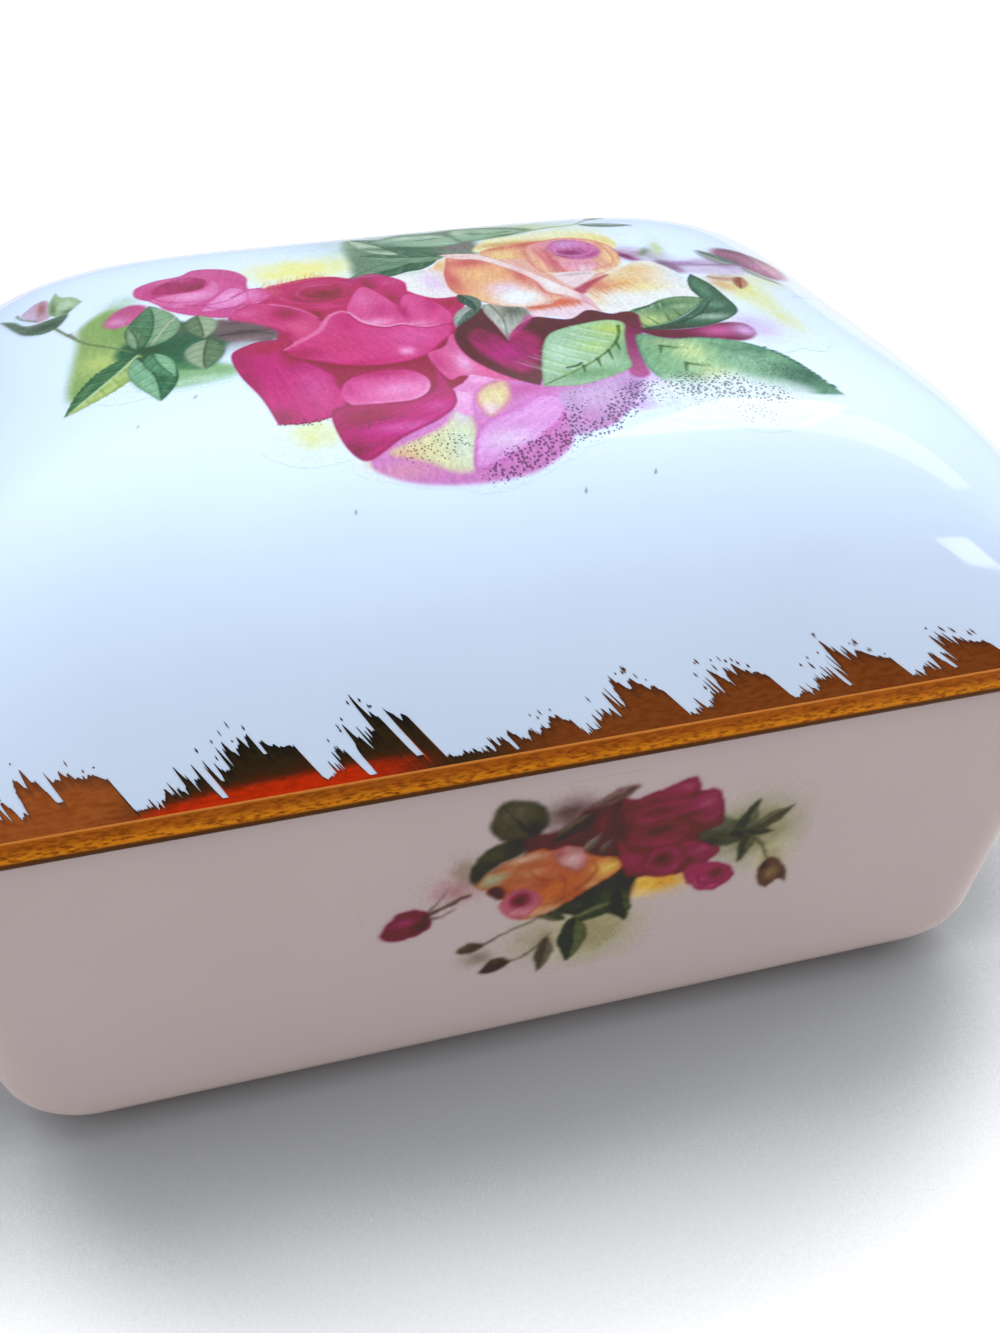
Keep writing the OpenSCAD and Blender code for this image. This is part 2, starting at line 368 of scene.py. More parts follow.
def paint_lid_clouds(c):
    """Soft colour behind the flowers."""
    for cloud in ((-10, 11.5, 6.8, 4.4, (255, 252, 168), 1.1), (-4, 13, 3.5, 3, (240, 244, 176), 0.6),
                  (18.5, 14.5, 5.2, 4.4, (246, 240, 170), 0.8),
                  (30.5, -4, 3.0, 5.5, (242, 236, 140), 0.85, -8),
                  (31, -11.5, 1.9, 5.2, (238, 238, 160), 0.75),
                  (34, -0.5, 3.2, 2.6, (242, 238, 180), 0.6)):
        c.glow(*cloud)
    c.petal([(-31.4, 4.4), (-28.4, 7.6), (-25.6, 4), (-26.4, -3), (-28, -8), (-30.6, -12.6), (-32.8, -11.4),
            (-32.4, -5), (-31.8, 0)], (148, 180, 104), [(-30, -5, 2, 2.4, (196, 214, 126), 0.9),
            (-28, 2, 1.6, 3, (132, 170, 96), 0.8)], soft=0.7, cover=0.95)
    c.petal([(-27, -8), (-24, -8.6), (-20.4, -9.6), (-18.6, -11.4), (-19.6, -13.2), (-24.4, -13.8),
            (-27, -12.4)], (140, 188, 128), [(-22, -12.8, 5, 0.9, (190, 226, 190), 0.9)], soft=0.8,
            cover=0.9)
    for cloud in ((-27.5, 8.2, 1.8, 2.4, (170, 200, 150), 0.6, -30),
                  (2.5, 18.5, 9.6, 5, (176, 198, 170), 0.9),
                  (14.5, 19.8, 6.5, 2.6, (214, 228, 180), 0.85)):
        c.glow(*cloud)
    c.petal([(-4.6, 17.6), (-3.6, 21.2), (-0.6, 19.6), (2, 21.9), (5, 21.5), (8, 22.4), (11, 21.6),
            (14, 20), (15.6, 18.2), (12.6, 16.6), (9, 15.8), (8.4, 11.6), (4, 11.6), (-1, 11.4), (-5, 8),
            (-4.8, 12.6)], (118, 148, 124), [(2, 14.4, 3.4, 1.6, (90, 130, 98), 0.9),
            (-4, 18.4, 1.2, 3, (150, 176, 146), 0.8), (6.6, 14.6, 1.9, 2.2, (140, 122, 126), 1.0),
            (7, 18, 0.7, 3, (100, 128, 106), 0.8)], soft=0.7, streak=(95, 0.2))
    for cloud in ((-14.3, -24, 2.9, 2.1, (238, 244, 168), 0.9),
                  (-9.6, -27.6, 1.6, 1.0, (250, 206, 150), 0.8),
                  (27, -14, 3.0, 3.8, (226, 204, 246), 0.85), (28.5, 3, 4.2, 2.4, (216, 196, 236), 0.9),
                  (25.4, 5.5, 1.5, 3.2, (196, 186, 206), 0.7),
                  (23, 7.5, 1.9, 2.6, (176, 118, 150), 0.6, 20),
                  (26.3, 9, 0.8, 3.2, (206, 220, 150), 0.8, -15),
                  (28.6, -2.5, 1.6, 2.6, (222, 170, 110), 0.7), (-18, -3.5, 3.6, 4.2, GREY_LEAF, 0.9)):
        c.glow(*cloud)


def paint_top_leaves(c):
    """The leaves behind the peach rose, with the stem that runs off to the right."""
    c.leaf((4, 12.6), (-6, 7.6), 2.1, (72, 112, 86), (122, 158, 128), 0.12, -1, 4)
    c.leaf((5, 11.8), (-3.6, 14.2), 1.9, (84, 124, 98), (132, 166, 136), 0.1, 1, 4)
    c.leaf((0.5, 13.5), (-3.6, 21.4), 2.2, (104, 140, 112), (196, 222, 190), -0.08, 1, 4)
    c.petal([(7, 15.2), (3.6, 15.1), (0.4, 16.6), (-1.7, 19, 0), (1, 20.9), (4.2, 21), (6.4, 19.4),
            (7.3, 17)], (158, 190, 162), [(2, 19.4, 1.4, 0.9, (196, 220, 194), 0.9),
            (4.6, 19, 1, 0.8, (200, 224, 196), 0.8), (5, 16.4, 1.6, 0.8, (176, 204, 176), 0.8),
            (0, 17.4, 1.4, 0.8, (122, 156, 128), 0.8)], line=((98, 130, 104), 0.4), soft=0.35,
            streak=(-20, 0.25))
    c.petal([(7.2, 16.4), (9, 15.9), (12, 16.4), (15, 18, 0), (12.6, 20.4), (9.4, 21.6), (7, 20.6)],
            (160, 194, 162), [(8, 20, 1, 1.2, (204, 226, 198), 0.9),
            (11, 18.6, 1.6, 0.8, (182, 210, 176), 0.8), (12.6, 16.9, 2.2, 0.6, (110, 138, 92), 0.9),
            (9.4, 18.6, 0.6, 0.8, (122, 154, 126), 0.8)], line=((98, 126, 96), 0.4), soft=0.35,
            streak=(-20, 0.25))
    for x, y, dx in ((5.2, 18.3, -4.6), (13.2, 18.4, -4.8)):
        c.stroke([(x, y), (x + dx / 2, y - 0.25), (x + dx, y + 0.6)], (0.45, 0.12), (98, 130, 100), 0.8, 0.2)
        for k in range(4):
            c.stroke([(x + dx * k / 5, y - 0.1), (x + dx * k / 5 - 0.5, y + 0.9)], (0.2, 0.05),
                    (132, 166, 136), 0.8)
    c.glow(0.5, 15.6, 4, 0.9, (66, 104, 78), 0.9, -16)
    c.stroke([(14.4, 17.6), (18, 18.6), (20.6, 19), (23, 21.6)], (0.55, 0.3), (160, 176, 130), 0.75, 0.25)
    c.leaf((21, 18.8), (26.8, 17.6), 0.9, (132, 150, 144), (180, 194, 186), -0.1, 1, 2, soft=0.3)
    c.leaf((22.5, 21), (25.4, 23.4), 0.7, (132, 150, 144), (176, 190, 182), 0, 1, 2, soft=0.3)


def paint_right_bud(c):
    """The half-open bud at the right edge, soft because it is the faintest printing."""
    c.petal([(25, 4.4), (27.5, 4.6), (30, 5.6), (33, 5), (33.4, 2), (31, 0.2), (28, 0.6), (25.2, 1)],
            (222, 208, 236), [(27, 3.8, 2.6, 0.7, (166, 124, 182), 0.8),
            (31.6, 3.8, 1.4, 1.2, (176, 136, 180), 0.9), (25.8, 2.4, 0.7, 2, (156, 110, 160), 0.8)],
            soft=0.6, cover=0.9)
    c.petal([(31.8, 7.6), (33.2, 9.8), (36, 10.2), (38.8, 9), (39.4, 6.8), (38.2, 3), (36, 1.2), (34.4, 2.2),
             (33, 4.8)], (176, 110, 144),
            [(38, 8.6, 2.2, 1.6, (116, 72, 100), 0.9), (36.6, 5, 1.8, 2.4, (216, 152, 188), 0.9),
             (34.4, 9.6, 1.8, 0.8, (120, 70, 90), 0.9), (33.6, 4.6, 0.8, 3, (138, 88, 116), 0.9)],
            soft=0.7, streak=(60, 0.2))
    c.leaf((33.6, 4.2), (30.4, 8.4), 1.4, (110, 126, 118), (160, 172, 162), 0.2, 1, 2, soft=0.6)
    c.leaf((33.4, 3.6), (36.2, -0.6), 0.8, (150, 160, 140), (206, 212, 190), -0.15, 1, 2, soft=0.3, cover=0.7)
    c.stroke([(33.8, 4.6), (30, 3.4), (26.5, 3.2), (24.6, 4)], (0.5, 0.4), (150, 126, 150), 0.6, 0.3)
    c.leaf((28, -0.4), (32, 0), 0.9, (206, 150, 130), (240, 214, 180), -0.25, 1, 2, soft=0.5, cover=0.8)
    c.leaf((31.6, -0.2), (30.1, -4), 0.7, (176, 92, 76), (216, 160, 120), 0, 1, 2, soft=0.35)
    for cloud in ((22, 6.8, 0.8, 2.6, (132, 44, 92), 1.0, 24),
                  (24.4, 7.6, 0.7, 2, (132, 146, 120), 0.8, -30),
                  (25.2, 3.6, 0.8, 2.2, (120, 90, 110), 0.7, 12)):
        c.glow(*cloud)


def paint_peach_rose(c):
    """The big peach rose with a pink heart."""
    c.petal([(8, 11.8), (8.6, 14.2), (10.6, 15.9), (15, 16.4), (19.4, 16), (22.2, 13.6), (22, 9.6), (17, 12),
             (13, 13)], CREAM,
            [(21, 12, 3, 2.4, (246, 228, 150), 0.8), (12, 13.6, 3.6, 0.9, (206, 150, 86), 0.75),
             (16, 15.6, 5, 0.8, (250, 248, 214), 0.8)], soft=0.3)
    c.petal([(8.2, 11.4), (10, 12.9), (13, 13.6), (16, 13.2), (14.6, 8.6), (12, 4.4), (10.4, 7.4),
            (9, 9.4)], (240, 180, 140), [(10.2, 9.8, 1.5, 2.2, (250, 214, 150), 0.9),
            (14, 12.8, 2.6, 1, (206, 106, 100), 0.95), (13, 8.6, 0.7, 3, (216, 118, 112), 0.8),
            (10, 12.4, 1.6, 0.6, (214, 128, 100), 0.8)], streak=(75, 0.16))
    c.petal([(9, 8), (12, 8.6), (17, 6), (18.4, 2), (16, -1.4), (15, -7.6), (13, -6), (11, -3.6), (9.6, 0)],
            (240, 186, 170), [(14.4, 4, 1, 2.4, (222, 130, 130), 0.8)], streak=(100, 0.16))
    c.petal([(13.2, 12), (15.2, 13.4), (17.6, 14), (20.2, 12.8), (21.6, 10), (21.4, 6.4), (20, 3.4),
            (17.4, 1.9), (14.2, 2.2), (12.6, 4), (12.2, 8)], (238, 170, 156),
            [(20.8, 6, 1.5, 4.4, (250, 210, 150), 0.95), (18.6, 2.8, 2.6, 0.8, (250, 214, 176), 0.9),
            (14.6, 7, 0.5, 4, (206, 92, 112), 0.85), (13.2, 6.4, 0.5, 3.6, (250, 196, 156), 0.8),
            (13.9, 8, 0.3, 4, (220, 120, 128), 0.8), (16.6, 12.2, 2.2, 1.2, (226, 146, 184), 0.9),
            (17, 5.4, 1.4, 1.6, (232, 158, 190), 0.9), (19.6, 12.2, 1.4, 0.8, (246, 184, 150), 0.8)],
            line=((220, 132, 110), 0.25), streak=(85, 0.2))
    c.stroke([(13, 3.6), (15.4, 2.7), (18, 2.5), (20.2, 3.6), (21.2, 5.6)], (0.5, 0.4), (252, 226, 200),
            0.85, 0.2)
    c.stroke([(20.6, 11.6), (20.9, 8), (20.2, 5), (18.4, 3.6)], (0.3, 0.2), (222, 130, 120), 0.6, 0.2)
    c.petal([(15.2, 10.6), (16.2, 12.8), (18, 13.2), (19.8, 11.6), (20.2, 9), (19.2, 7), (17.6, 6.6),
            (15.8, 7.8)], (214, 128, 180), [(17.4, 11.8, 1.2, 1.2, (220, 160, 218), 0.95),
            (16.9, 8.9, 1.3, 1, (138, 42, 96), 0.95), (18.9, 8, 0.9, 1.4, (182, 78, 142), 0.9),
            (16, 8.4, 0.6, 1.4, (170, 70, 130), 0.8)], line=((196, 96, 146), 0.3), soft=0.3,
            streak=(80, 0.25))
    for x, y, r, start, sweep, colour in ((17.4, 9.4, 1.1, 200, 230, (176, 84, 136)),
            (17.5, 9.6, 1.9, 150, 200, (236, 168, 210)), (17.4, 9.8, 2.6, 120, 150, (200, 104, 156)),
            (17.6, 9, 2.3, 250, 150, (210, 110, 160)), (17.2, 9.2, 3.0, 215, 120, (244, 176, 190))):
        c.stroke(arc(x, y, r, start, sweep), (0.3, 0.12), colour, 0.7, 0.2)
    c.petal([(15.4, 6.8), (17.8, 6.4), (18.4, 4.6), (17, 3.2), (15.6, 3.6), (15, 5)], (240, 164, 184),
            [(17, 4, 0.9, 0.9, (252, 214, 226), 0.9)], streak=(80, 0.2), soft=0.25)
    c.petal([(13.4, 3.2), (15, 3.4), (17.6, 3), (17.2, 1.8), (15.6, -0.2), (14.6, -1.6), (13.8, 0.4)],
            (250, 226, 230), [(15.4, 2.6, 1.4, 0.4, (196, 176, 184), 0.7)], soft=0.2)
    c.petal([(14.4, -2, 0), (16.4, 0.6), (18.2, 2), (20.4, 3.4), (22.6, 4.9), (24.2, 4.2), (25.4, 1),
            (25.5, -3.4), (24.8, -6.4), (21.4, -6.8), (19, -8), (16.6, -8.9), (15, -8), (14.3, -5.4)],
            (250, 252, 250), [(19.4, -0.6, 3.2, 2.6, (244, 200, 138), 0.95),
            (21.6, 2.4, 2.4, 2.2, (246, 206, 150), 0.9), (20.6, -2.6, 2, 1, (252, 236, 168), 0.8),
            (16.6, -1, 1.4, 2, (226, 136, 110), 0.9), (15.4, -4.4, 0.9, 2, (250, 216, 180), 0.8),
            (25, 0, 0.8, 3, (226, 236, 246), 0.7)], soft=0.2)
    c.stroke([(14.4, -2.2), (16, -0.4), (18.4, 1.6)], (1.5, 0.3), (186, 70, 96), 0.85, 0.35)
    c.fringe((15, -2.6), (19.6, -0.6), (0.5, -1.8), 26, (226, 150, 84), cover=0.5)
    c.petal([(-2, 6.8, 0), (0, 8), (2.4, 8.5), (3.8, 10.6), (4.8, 11.6, 0), (4.8, 7.4), (3.6, 3), (3.4, -0.4),
             (1.6, -0.7), (-0.6, 0.8), (-1.3, 3), (-0.8, 5)], (253, 250, 250),
            [(3.4, 9, 1.3, 2, (246, 196, 130), 0.9), (1.8, 4.4, 1, 3, (242, 210, 248), 0.8),
             (3.6, 3, 0.7, 3.6, (240, 170, 170), 0.8), (0.4, 7.4, 1.6, 0.7, (214, 232, 226), 0.7)])
    c.petal([(4.6, 11, 0), (6.2, 10.2), (8, 9.8), (9.6, 7.4), (10.8, 4.6), (11.4, 1.6), (11.4, -1.4),
            (12.6, -3.2), (11, -4.3), (8.8, -5), (6.6, -4.2), (4.6, -1.8), (3, 1.4), (3.2, 5.6), (4, 8.6)],
            (246, 182, 138), [(6.4, 5, 1.6, 2.4, (248, 196, 142), 0.8),
            (8, 0.6, 1.7, 1.8, (246, 214, 240), 0.95), (8.6, -2.2, 2.5, 2.6, (255, 252, 255), 1.3),
            (6.4, 9, 2.6, 1.5, (214, 108, 108), 0.95), (3.6, 5, 0.9, 4.4, (220, 112, 112), 0.95),
            (10.4, 4.2, 0.8, 3.2, (214, 108, 112), 0.9), (11.4, 0, 0.6, 2.8, (220, 124, 130), 0.8),
            (5, -1.4, 0.9, 1.8, (244, 200, 150), 0.8)], line=((206, 96, 88), 0.2), streak=(72, 0.12))
    c.petal([(8.4, -4.9), (10.6, -4.6), (12.4, -3.4), (13.6, -2.8), (14.6, -7.4), (13, -7.6), (11.4, -8.8),
             (10.2, -7.8), (8.2, -7.5)], (250, 224, 236),
            [(12, -4.4, 2.2, 1.2, (226, 112, 84), 0.95), (9.4, -5.2, 1.6, 0.6, (214, 112, 80), 0.8)])
    c.fringe((8.6, -5.1), (13.6, -4.6), (0.1, -1.4), 28, (222, 116, 82), cover=0.6)
    c.petal([(4.1, 12.2, 0), (6, 12), (7.9, 11.2), (9.4, 9), (11, 6), (12.2, 3), (13.6, -0.4), (14.7, -4),
            (14.7, -7.8, 0), (13.9, -5), (12.9, -3), (11.6, -1.6), (11.2, 2), (10.2, 5), (8.8, 7.6),
            (7.4, 9.6), (5.4, 10.4)], (252, 228, 226), [(12.4, 0.4, 0.6, 2.4, (255, 250, 248), 0.9),
            (10.6, 5, 0.6, 1.8, (246, 196, 194), 0.7), (6, 11, 1.6, 0.5, (246, 190, 184), 0.6),
            (14.2, -5, 0.4, 2.4, (228, 150, 180), 0.6)], line=((222, 140, 140), 0.16))


def paint_crimson_rose(c):
    """The main crimson rose: its heart, the turned-back petals and the three big lower ones."""
    c.petal([(-18.2, 0.2), (-16.6, 3), (-14.8, 4), (-14, 7.4), (-12.2, 8.3), (-9.6, 9.1), (-7.2, 8.8),
            (-5.6, 7.8), (-3.6, 8.6), (-1.9, 7.2), (-0.8, 5), (-1.2, 3), (0.9, 0), (3.8, -0.4), (2.8, -3.6),
            (1.2, -7.6), (0.2, -10), (-8, -11), (-14, -8.6), (-15, -4), (-17, -2)], (206, 64, 118),
            [(-4, 7.6, 1.6, 1, (170, 110, 140), 0.8), (2, -1.8, 1.6, 1.4, (170, 36, 84), 0.8),
            (-13.6, 6, 1.2, 1.6, (224, 110, 130), 0.7)], soft=0.2, streak=(60, 0.16))
    c.petal([(-15.4, -9), (-12, -8), (-2, -8), (0.6, -9.6), (0.8, -14), (-2, -20), (-12, -20.6),
            (-13.4, -13)], DEEP)
    c.fringe((-14.6, 7), (-8, 9), (0.5, 1.9), 34, (222, 130, 100), cover=0.45)
    c.glow(-8.9, 4.9, 3.4, 2.9, DEEP, 0.85)
    c.petal([(-11.4, 5), (-10.4, 7.2), (-8.6, 7.8), (-6.9, 6.6), (-6.6, 4.4), (-7.8, 2.4), (-9.8, 2.4),
            (-11, 3.4)], (186, 50, 98), [(-8.9, 4.2, 1.6, 1.5, (142, 30, 68), 0.95),
            (-9.4, 6.9, 1.5, 0.8, (214, 92, 140), 0.7)], line=((216, 92, 138), 0.2))
    for r, start, sweep, colour in ((1.0, 20, 220, (206, 84, 128)), (1.6, 190, 190, (150, 30, 72)),
            (2.2, 60, 200, (222, 104, 150)), (2.9, 200, 130, (146, 28, 72)), (3.2, 20, 120, (216, 96, 142)),
            (3.9, 190, 90, (222, 100, 150))):
        c.stroke(arc(-9, 4.9, r, start, sweep), (0.5, 0.2), colour, 0.5, 0.3)
    c.petal([(-13.6, 3.4), (-11.6, 2.2), (-9, 1.2), (-7.4, 2.6), (-6.8, 0.6), (-7.6, -1.4), (-9.4, -1.6),
            (-10.4, -3.4), (-11.6, -0.6)], (200, 54, 108), [(-10.6, -1, 0.8, 1.6, (150, 26, 68), 0.9),
            (-9, 0.6, 2, 0.6, (222, 98, 142), 0.6)], streak=(20, 0.2))
    c.petal([(-5.4, 7.2), (-3.4, 7.6), (-1.7, 6.6), (-0.9, 4.6), (-1.4, 1.6), (-2.6, -1.4, 0), (-3.6, 2),
            (-4.8, 4.8)], (204, 62, 122), [(-4.4, 5.4, 0.7, 2.6, (156, 28, 78), 0.9),
            (-2.9, 1, 0.6, 2, (166, 32, 84), 0.9), (-2.2, 5.6, 1, 1, (226, 100, 156), 0.7)],
            streak=(65, 0.16))
    c.petal([(-18.2, 0.1), (-17.2, 2.4), (-15.4, 3.6), (-13.4, 2.8), (-11.4, 0.6), (-10.2, -2.6),
            (-9.8, -3.6), (-11, -6), (-13.2, -7), (-14.4, -6), (-14.4, -3.6), (-16.6, -1.6)],
            (218, 82, 138), [(-13, 0, 1.2, 1.9, (166, 34, 84), 0.9),
            (-16.4, 1.2, 1.4, 1, (230, 108, 166), 0.7), (-12.4, -3.8, 1.4, 1.8, (232, 104, 146), 0.7),
            (-14, -5.6, 0.8, 1.4, (170, 38, 84), 0.8)], line=((178, 44, 96), 0.22), streak=(110, 0.14))
    c.stroke([(-14, 2.9), (-12.4, 1.6), (-11, -0.4), (-10.4, -2)], (0.4, 0.2), (240, 128, 176), 0.8, 0.2)
    c.petal([(-7.6, -1.2), (-6.8, 1.6), (-5.6, 4.4), (-4.6, 4.8), (-3.6, 2), (-2.7, -1.6, 0), (-1.9, 1.2),
             (-0.8, 1.6), (0.9, -1.6), (1.4, -4.8), (0.5, -6.9), (-1.4, -6.9), (-3.3, -5.7), (-4.7, -6),
             (-6.4, -4.9), (-7.5, -3)], (228, 94, 156),
            [(-5.6, 1.4, 1, 2.4, (236, 122, 178), 0.8), (-4.4, -1.6, 1, 1.8, (206, 70, 134), 0.6),
             (0.2, -1.4, 0.8, 2.6, (204, 62, 128), 0.8), (-2.6, -2.6, 0.5, 1.8, (188, 46, 108), 0.8),
             (-5.4, -4.6, 1.4, 0.9, (252, 164, 212), 0.95), (-2, -6, 1.2, 0.7, (250, 150, 202), 0.9)],
            streak=(70, 0.12))
    c.stroke([(-7.5, -1.4), (-6.6, -4), (-5, -5.8), (-3.4, -5.6), (-2, -6.8), (-0.2, -6.9)], (0.3, 0.35),
             (255, 182, 222), 0.85, 0.2)
    c.petal([(-14.4, -8.7, 0), (-12.4, -6.4), (-10.4, -4.4), (-9.2, -1.8), (-8.2, -0.8), (-7.5, -1.6),
            (-6.8, -4.4), (-5, -6), (-3.4, -5.8), (-1.6, -7), (0.8, -6.9), (0.4, -9.4), (-1.4, -12.4),
            (-4, -14), (-6.6, -14.4), (-9.6, -13.8), (-12.2, -12), (-14, -10.4)], (222, 80, 142),
            [(-3, -8.6, 2.6, 2.6, (232, 104, 172), 0.85), (-13, -10, 1.6, 1.2, (178, 40, 96), 0.85),
            (-8.6, -13.6, 3, 0.8, (204, 60, 116), 0.7), (-8.2, -4, 0.9, 2.6, (204, 60, 124), 0.7),
            (-4.3, -12, 0.7, 0.9, (255, 172, 222), 0.95), (-10, -9, 2.4, 2.4, (214, 76, 126), 0.6)],
            line=((168, 30, 84), 0.22), streak=(105, 0.12))
    c.stroke([(-14.5, -8.6), (-12.2, -6.6), (-10.6, -4.8), (-9.4, -2), (-8.2, -0.9), (-7.5, -1.5)],
            (0.75, 0.3), (240, 120, 168), 0.9, 0.2, (250, 150, 200))
    c.petal([(-19, -9), (-18, -7.2), (-15.6, -6), (-13.4, -7.2), (-14.6, -9), (-13.6, -11), (-11.6, -13.4),
            (-10.8, -16), (-11, -20.4), (-12.2, -22), (-14.6, -22.6), (-16.9, -22.3, 0), (-17.6, -18),
            (-18.7, -13.4)], (208, 66, 132), [(-15.4, -7.6, 3, 1.6, (184, 48, 88), 0.9),
            (-13, -17, 1.6, 4.2, (218, 92, 158), 0.8), (-18, -14, 0.8, 7, (176, 42, 104), 0.75),
            (-14, -10.6, 0.9, 2, (166, 30, 80), 0.85), (-16.4, -21.4, 1.3, 1.2, (160, 22, 96), 0.8)],
            line=((160, 30, 88), 0.25), streak=(97, 0.16))
    c.petal([(-13.4, -11.4), (-11, -14), (-8, -15), (-5, -14.6), (-2.6, -13), (-0.2, -10), (-1.2, -13.4),
            (-2.4, -17), (-3, -20.6), (-5.4, -21.6), (-10, -21.4), (-11.2, -18), (-11.4, -15)],
            (164, 28, 86), [(-7, -17, 3, 2, (196, 56, 116), 0.6)], soft=0.25)
    c.petal([(-11.2, -18.6), (-10, -16.4), (-7.6, -15.6), (-5, -16), (-3.8, -18), (-4.2, -20), (-5.6, -21.1),
             (-8, -21.3), (-10.6, -20.9)], (226, 96, 160),
            [(-6.4, -19.2, 2.4, 1.3, (248, 152, 208), 0.95), (-7.6, -16, 3, 0.8, (196, 60, 118), 0.8),
             (-10.6, -19, 0.8, 1.8, (206, 70, 140), 0.6)], rim=(BLUSH, 0.5, -70))
    c.petal([(-12.6, -22), (-11.6, -20.9), (-8, -21.1), (-5.4, -21), (-3.6, -19.4), (-2.8, -16.4),
            (-2.3, -19.4), (-2.4, -22.2), (-4.2, -24), (-7.6, -25.6), (-10.4, -27.3), (-11.6, -26.9),
            (-12.4, -25)], (194, 46, 122), [(-10, -22.6, 2.4, 1.6, (160, 20, 88), 0.85),
            (-7, -24.4, 3.4, 0.8, (230, 110, 182), 0.8), (-11.4, -26.2, 1, 1, (150, 18, 90), 0.8),
            (-4, -22.4, 1.4, 1, (222, 100, 172), 0.7)], line=((150, 20, 88), 0.22), streak=(25, 0.2))
    c.petal([(-2.8, -13.4), (-1, -12), (0.3, -9.4), (1.4, -11), (1.9, -15), (4.2, -20), (2, -19.6),
            (0.6, -18.6), (-1, -18.2), (-2.2, -18.4)], (230, 110, 164),
            [(-0.2, -15.8, 0.7, 2, (250, 184, 232), 0.95), (-2.2, -15, 0.6, 2.4, (206, 70, 130), 0.6)],
            streak=(100, 0.12))


def paint_dark_rose(c):
    """The unopened dark rose in the middle with its two pale sepals, and the maroon behind the leaves."""
    c.petal([(4.8, -3.6), (3, -5.6), (1.2, -7.8), (0.3, -10.6), (0.4, -14.4), (1.6, -17.6), (3.4, -20),
            (4.9, -21.2, 0), (7, -17.6), (8.8, -14), (10.4, -12), (12.6, -11.2), (15.4, -11), (16.2, -12.6),
            (17.4, -10.4), (17.2, -8.6), (15.4, -8.7), (13.6, -7.2), (11.3, -8.9), (8.6, -7.5), (6.6, -8),
            (5.4, -5.4)], MAROON, [(5, -16, 2.4, 3, (136, 36, 82), 0.7),
            (11, -9, 3, 1, (112, 44, 72), 0.6)], streak=(95, 0.25), soft=0.16)
    c.petal([(1.6, -10.4), (2.8, -8.8), (4, -10.6), (4.6, -12.6), (5.6, -11.6), (7.4, -12), (6.8, -15),
            (5.4, -18), (4, -18.8), (2.4, -16.4), (1.5, -13.4)], PLUM,
            [(4, -14.8, 1.8, 2.2, (190, 62, 138), 0.85), (3, -10.4, 1, 1.4, (132, 44, 84), 0.8)], soft=0.5,
            streak=(100, 0.25))
    c.glow(6, -11, 1.3, 1.3, (200, 70, 120), 0.8)
    c.leaf((4.6, -2.6), (1.1, -7.9), 0.95, (92, 116, 104), (190, 196, 190), -0.1, -1, 3, rib=(110, 130, 118))
    c.leaf((3.2, 0.2), (3.8, -4.4), 0.9, (74, 104, 90), (120, 144, 126), 0.2, 1, 3)
    c.petal([(4.8, -3), (6.6, -4), (8.2, -5), (8.2, -7.4), (6.6, -9), (5.6, -10.4), (4.7, -12.2, 0),
            (4.6, -8.6), (4.4, -5.4)], (178, 180, 170), [(7, -5.4, 1.1, 1.6, (96, 104, 90), 0.85),
            (5.2, -8.6, 0.5, 2, (216, 218, 214), 0.9)], streak=(80, 0.3))
    c.stroke([(5.4, -3.2), (5.6, -7), (4.8, -11.6)], (0.3, 0.1), (122, 128, 114), 0.8)
    c.stroke([(4.9, -12.2), (5.4, -11), (6.8, -9.2), (8, -7.2)], (0.4, 0.8), (206, 90, 150), 0.7, 0.3)


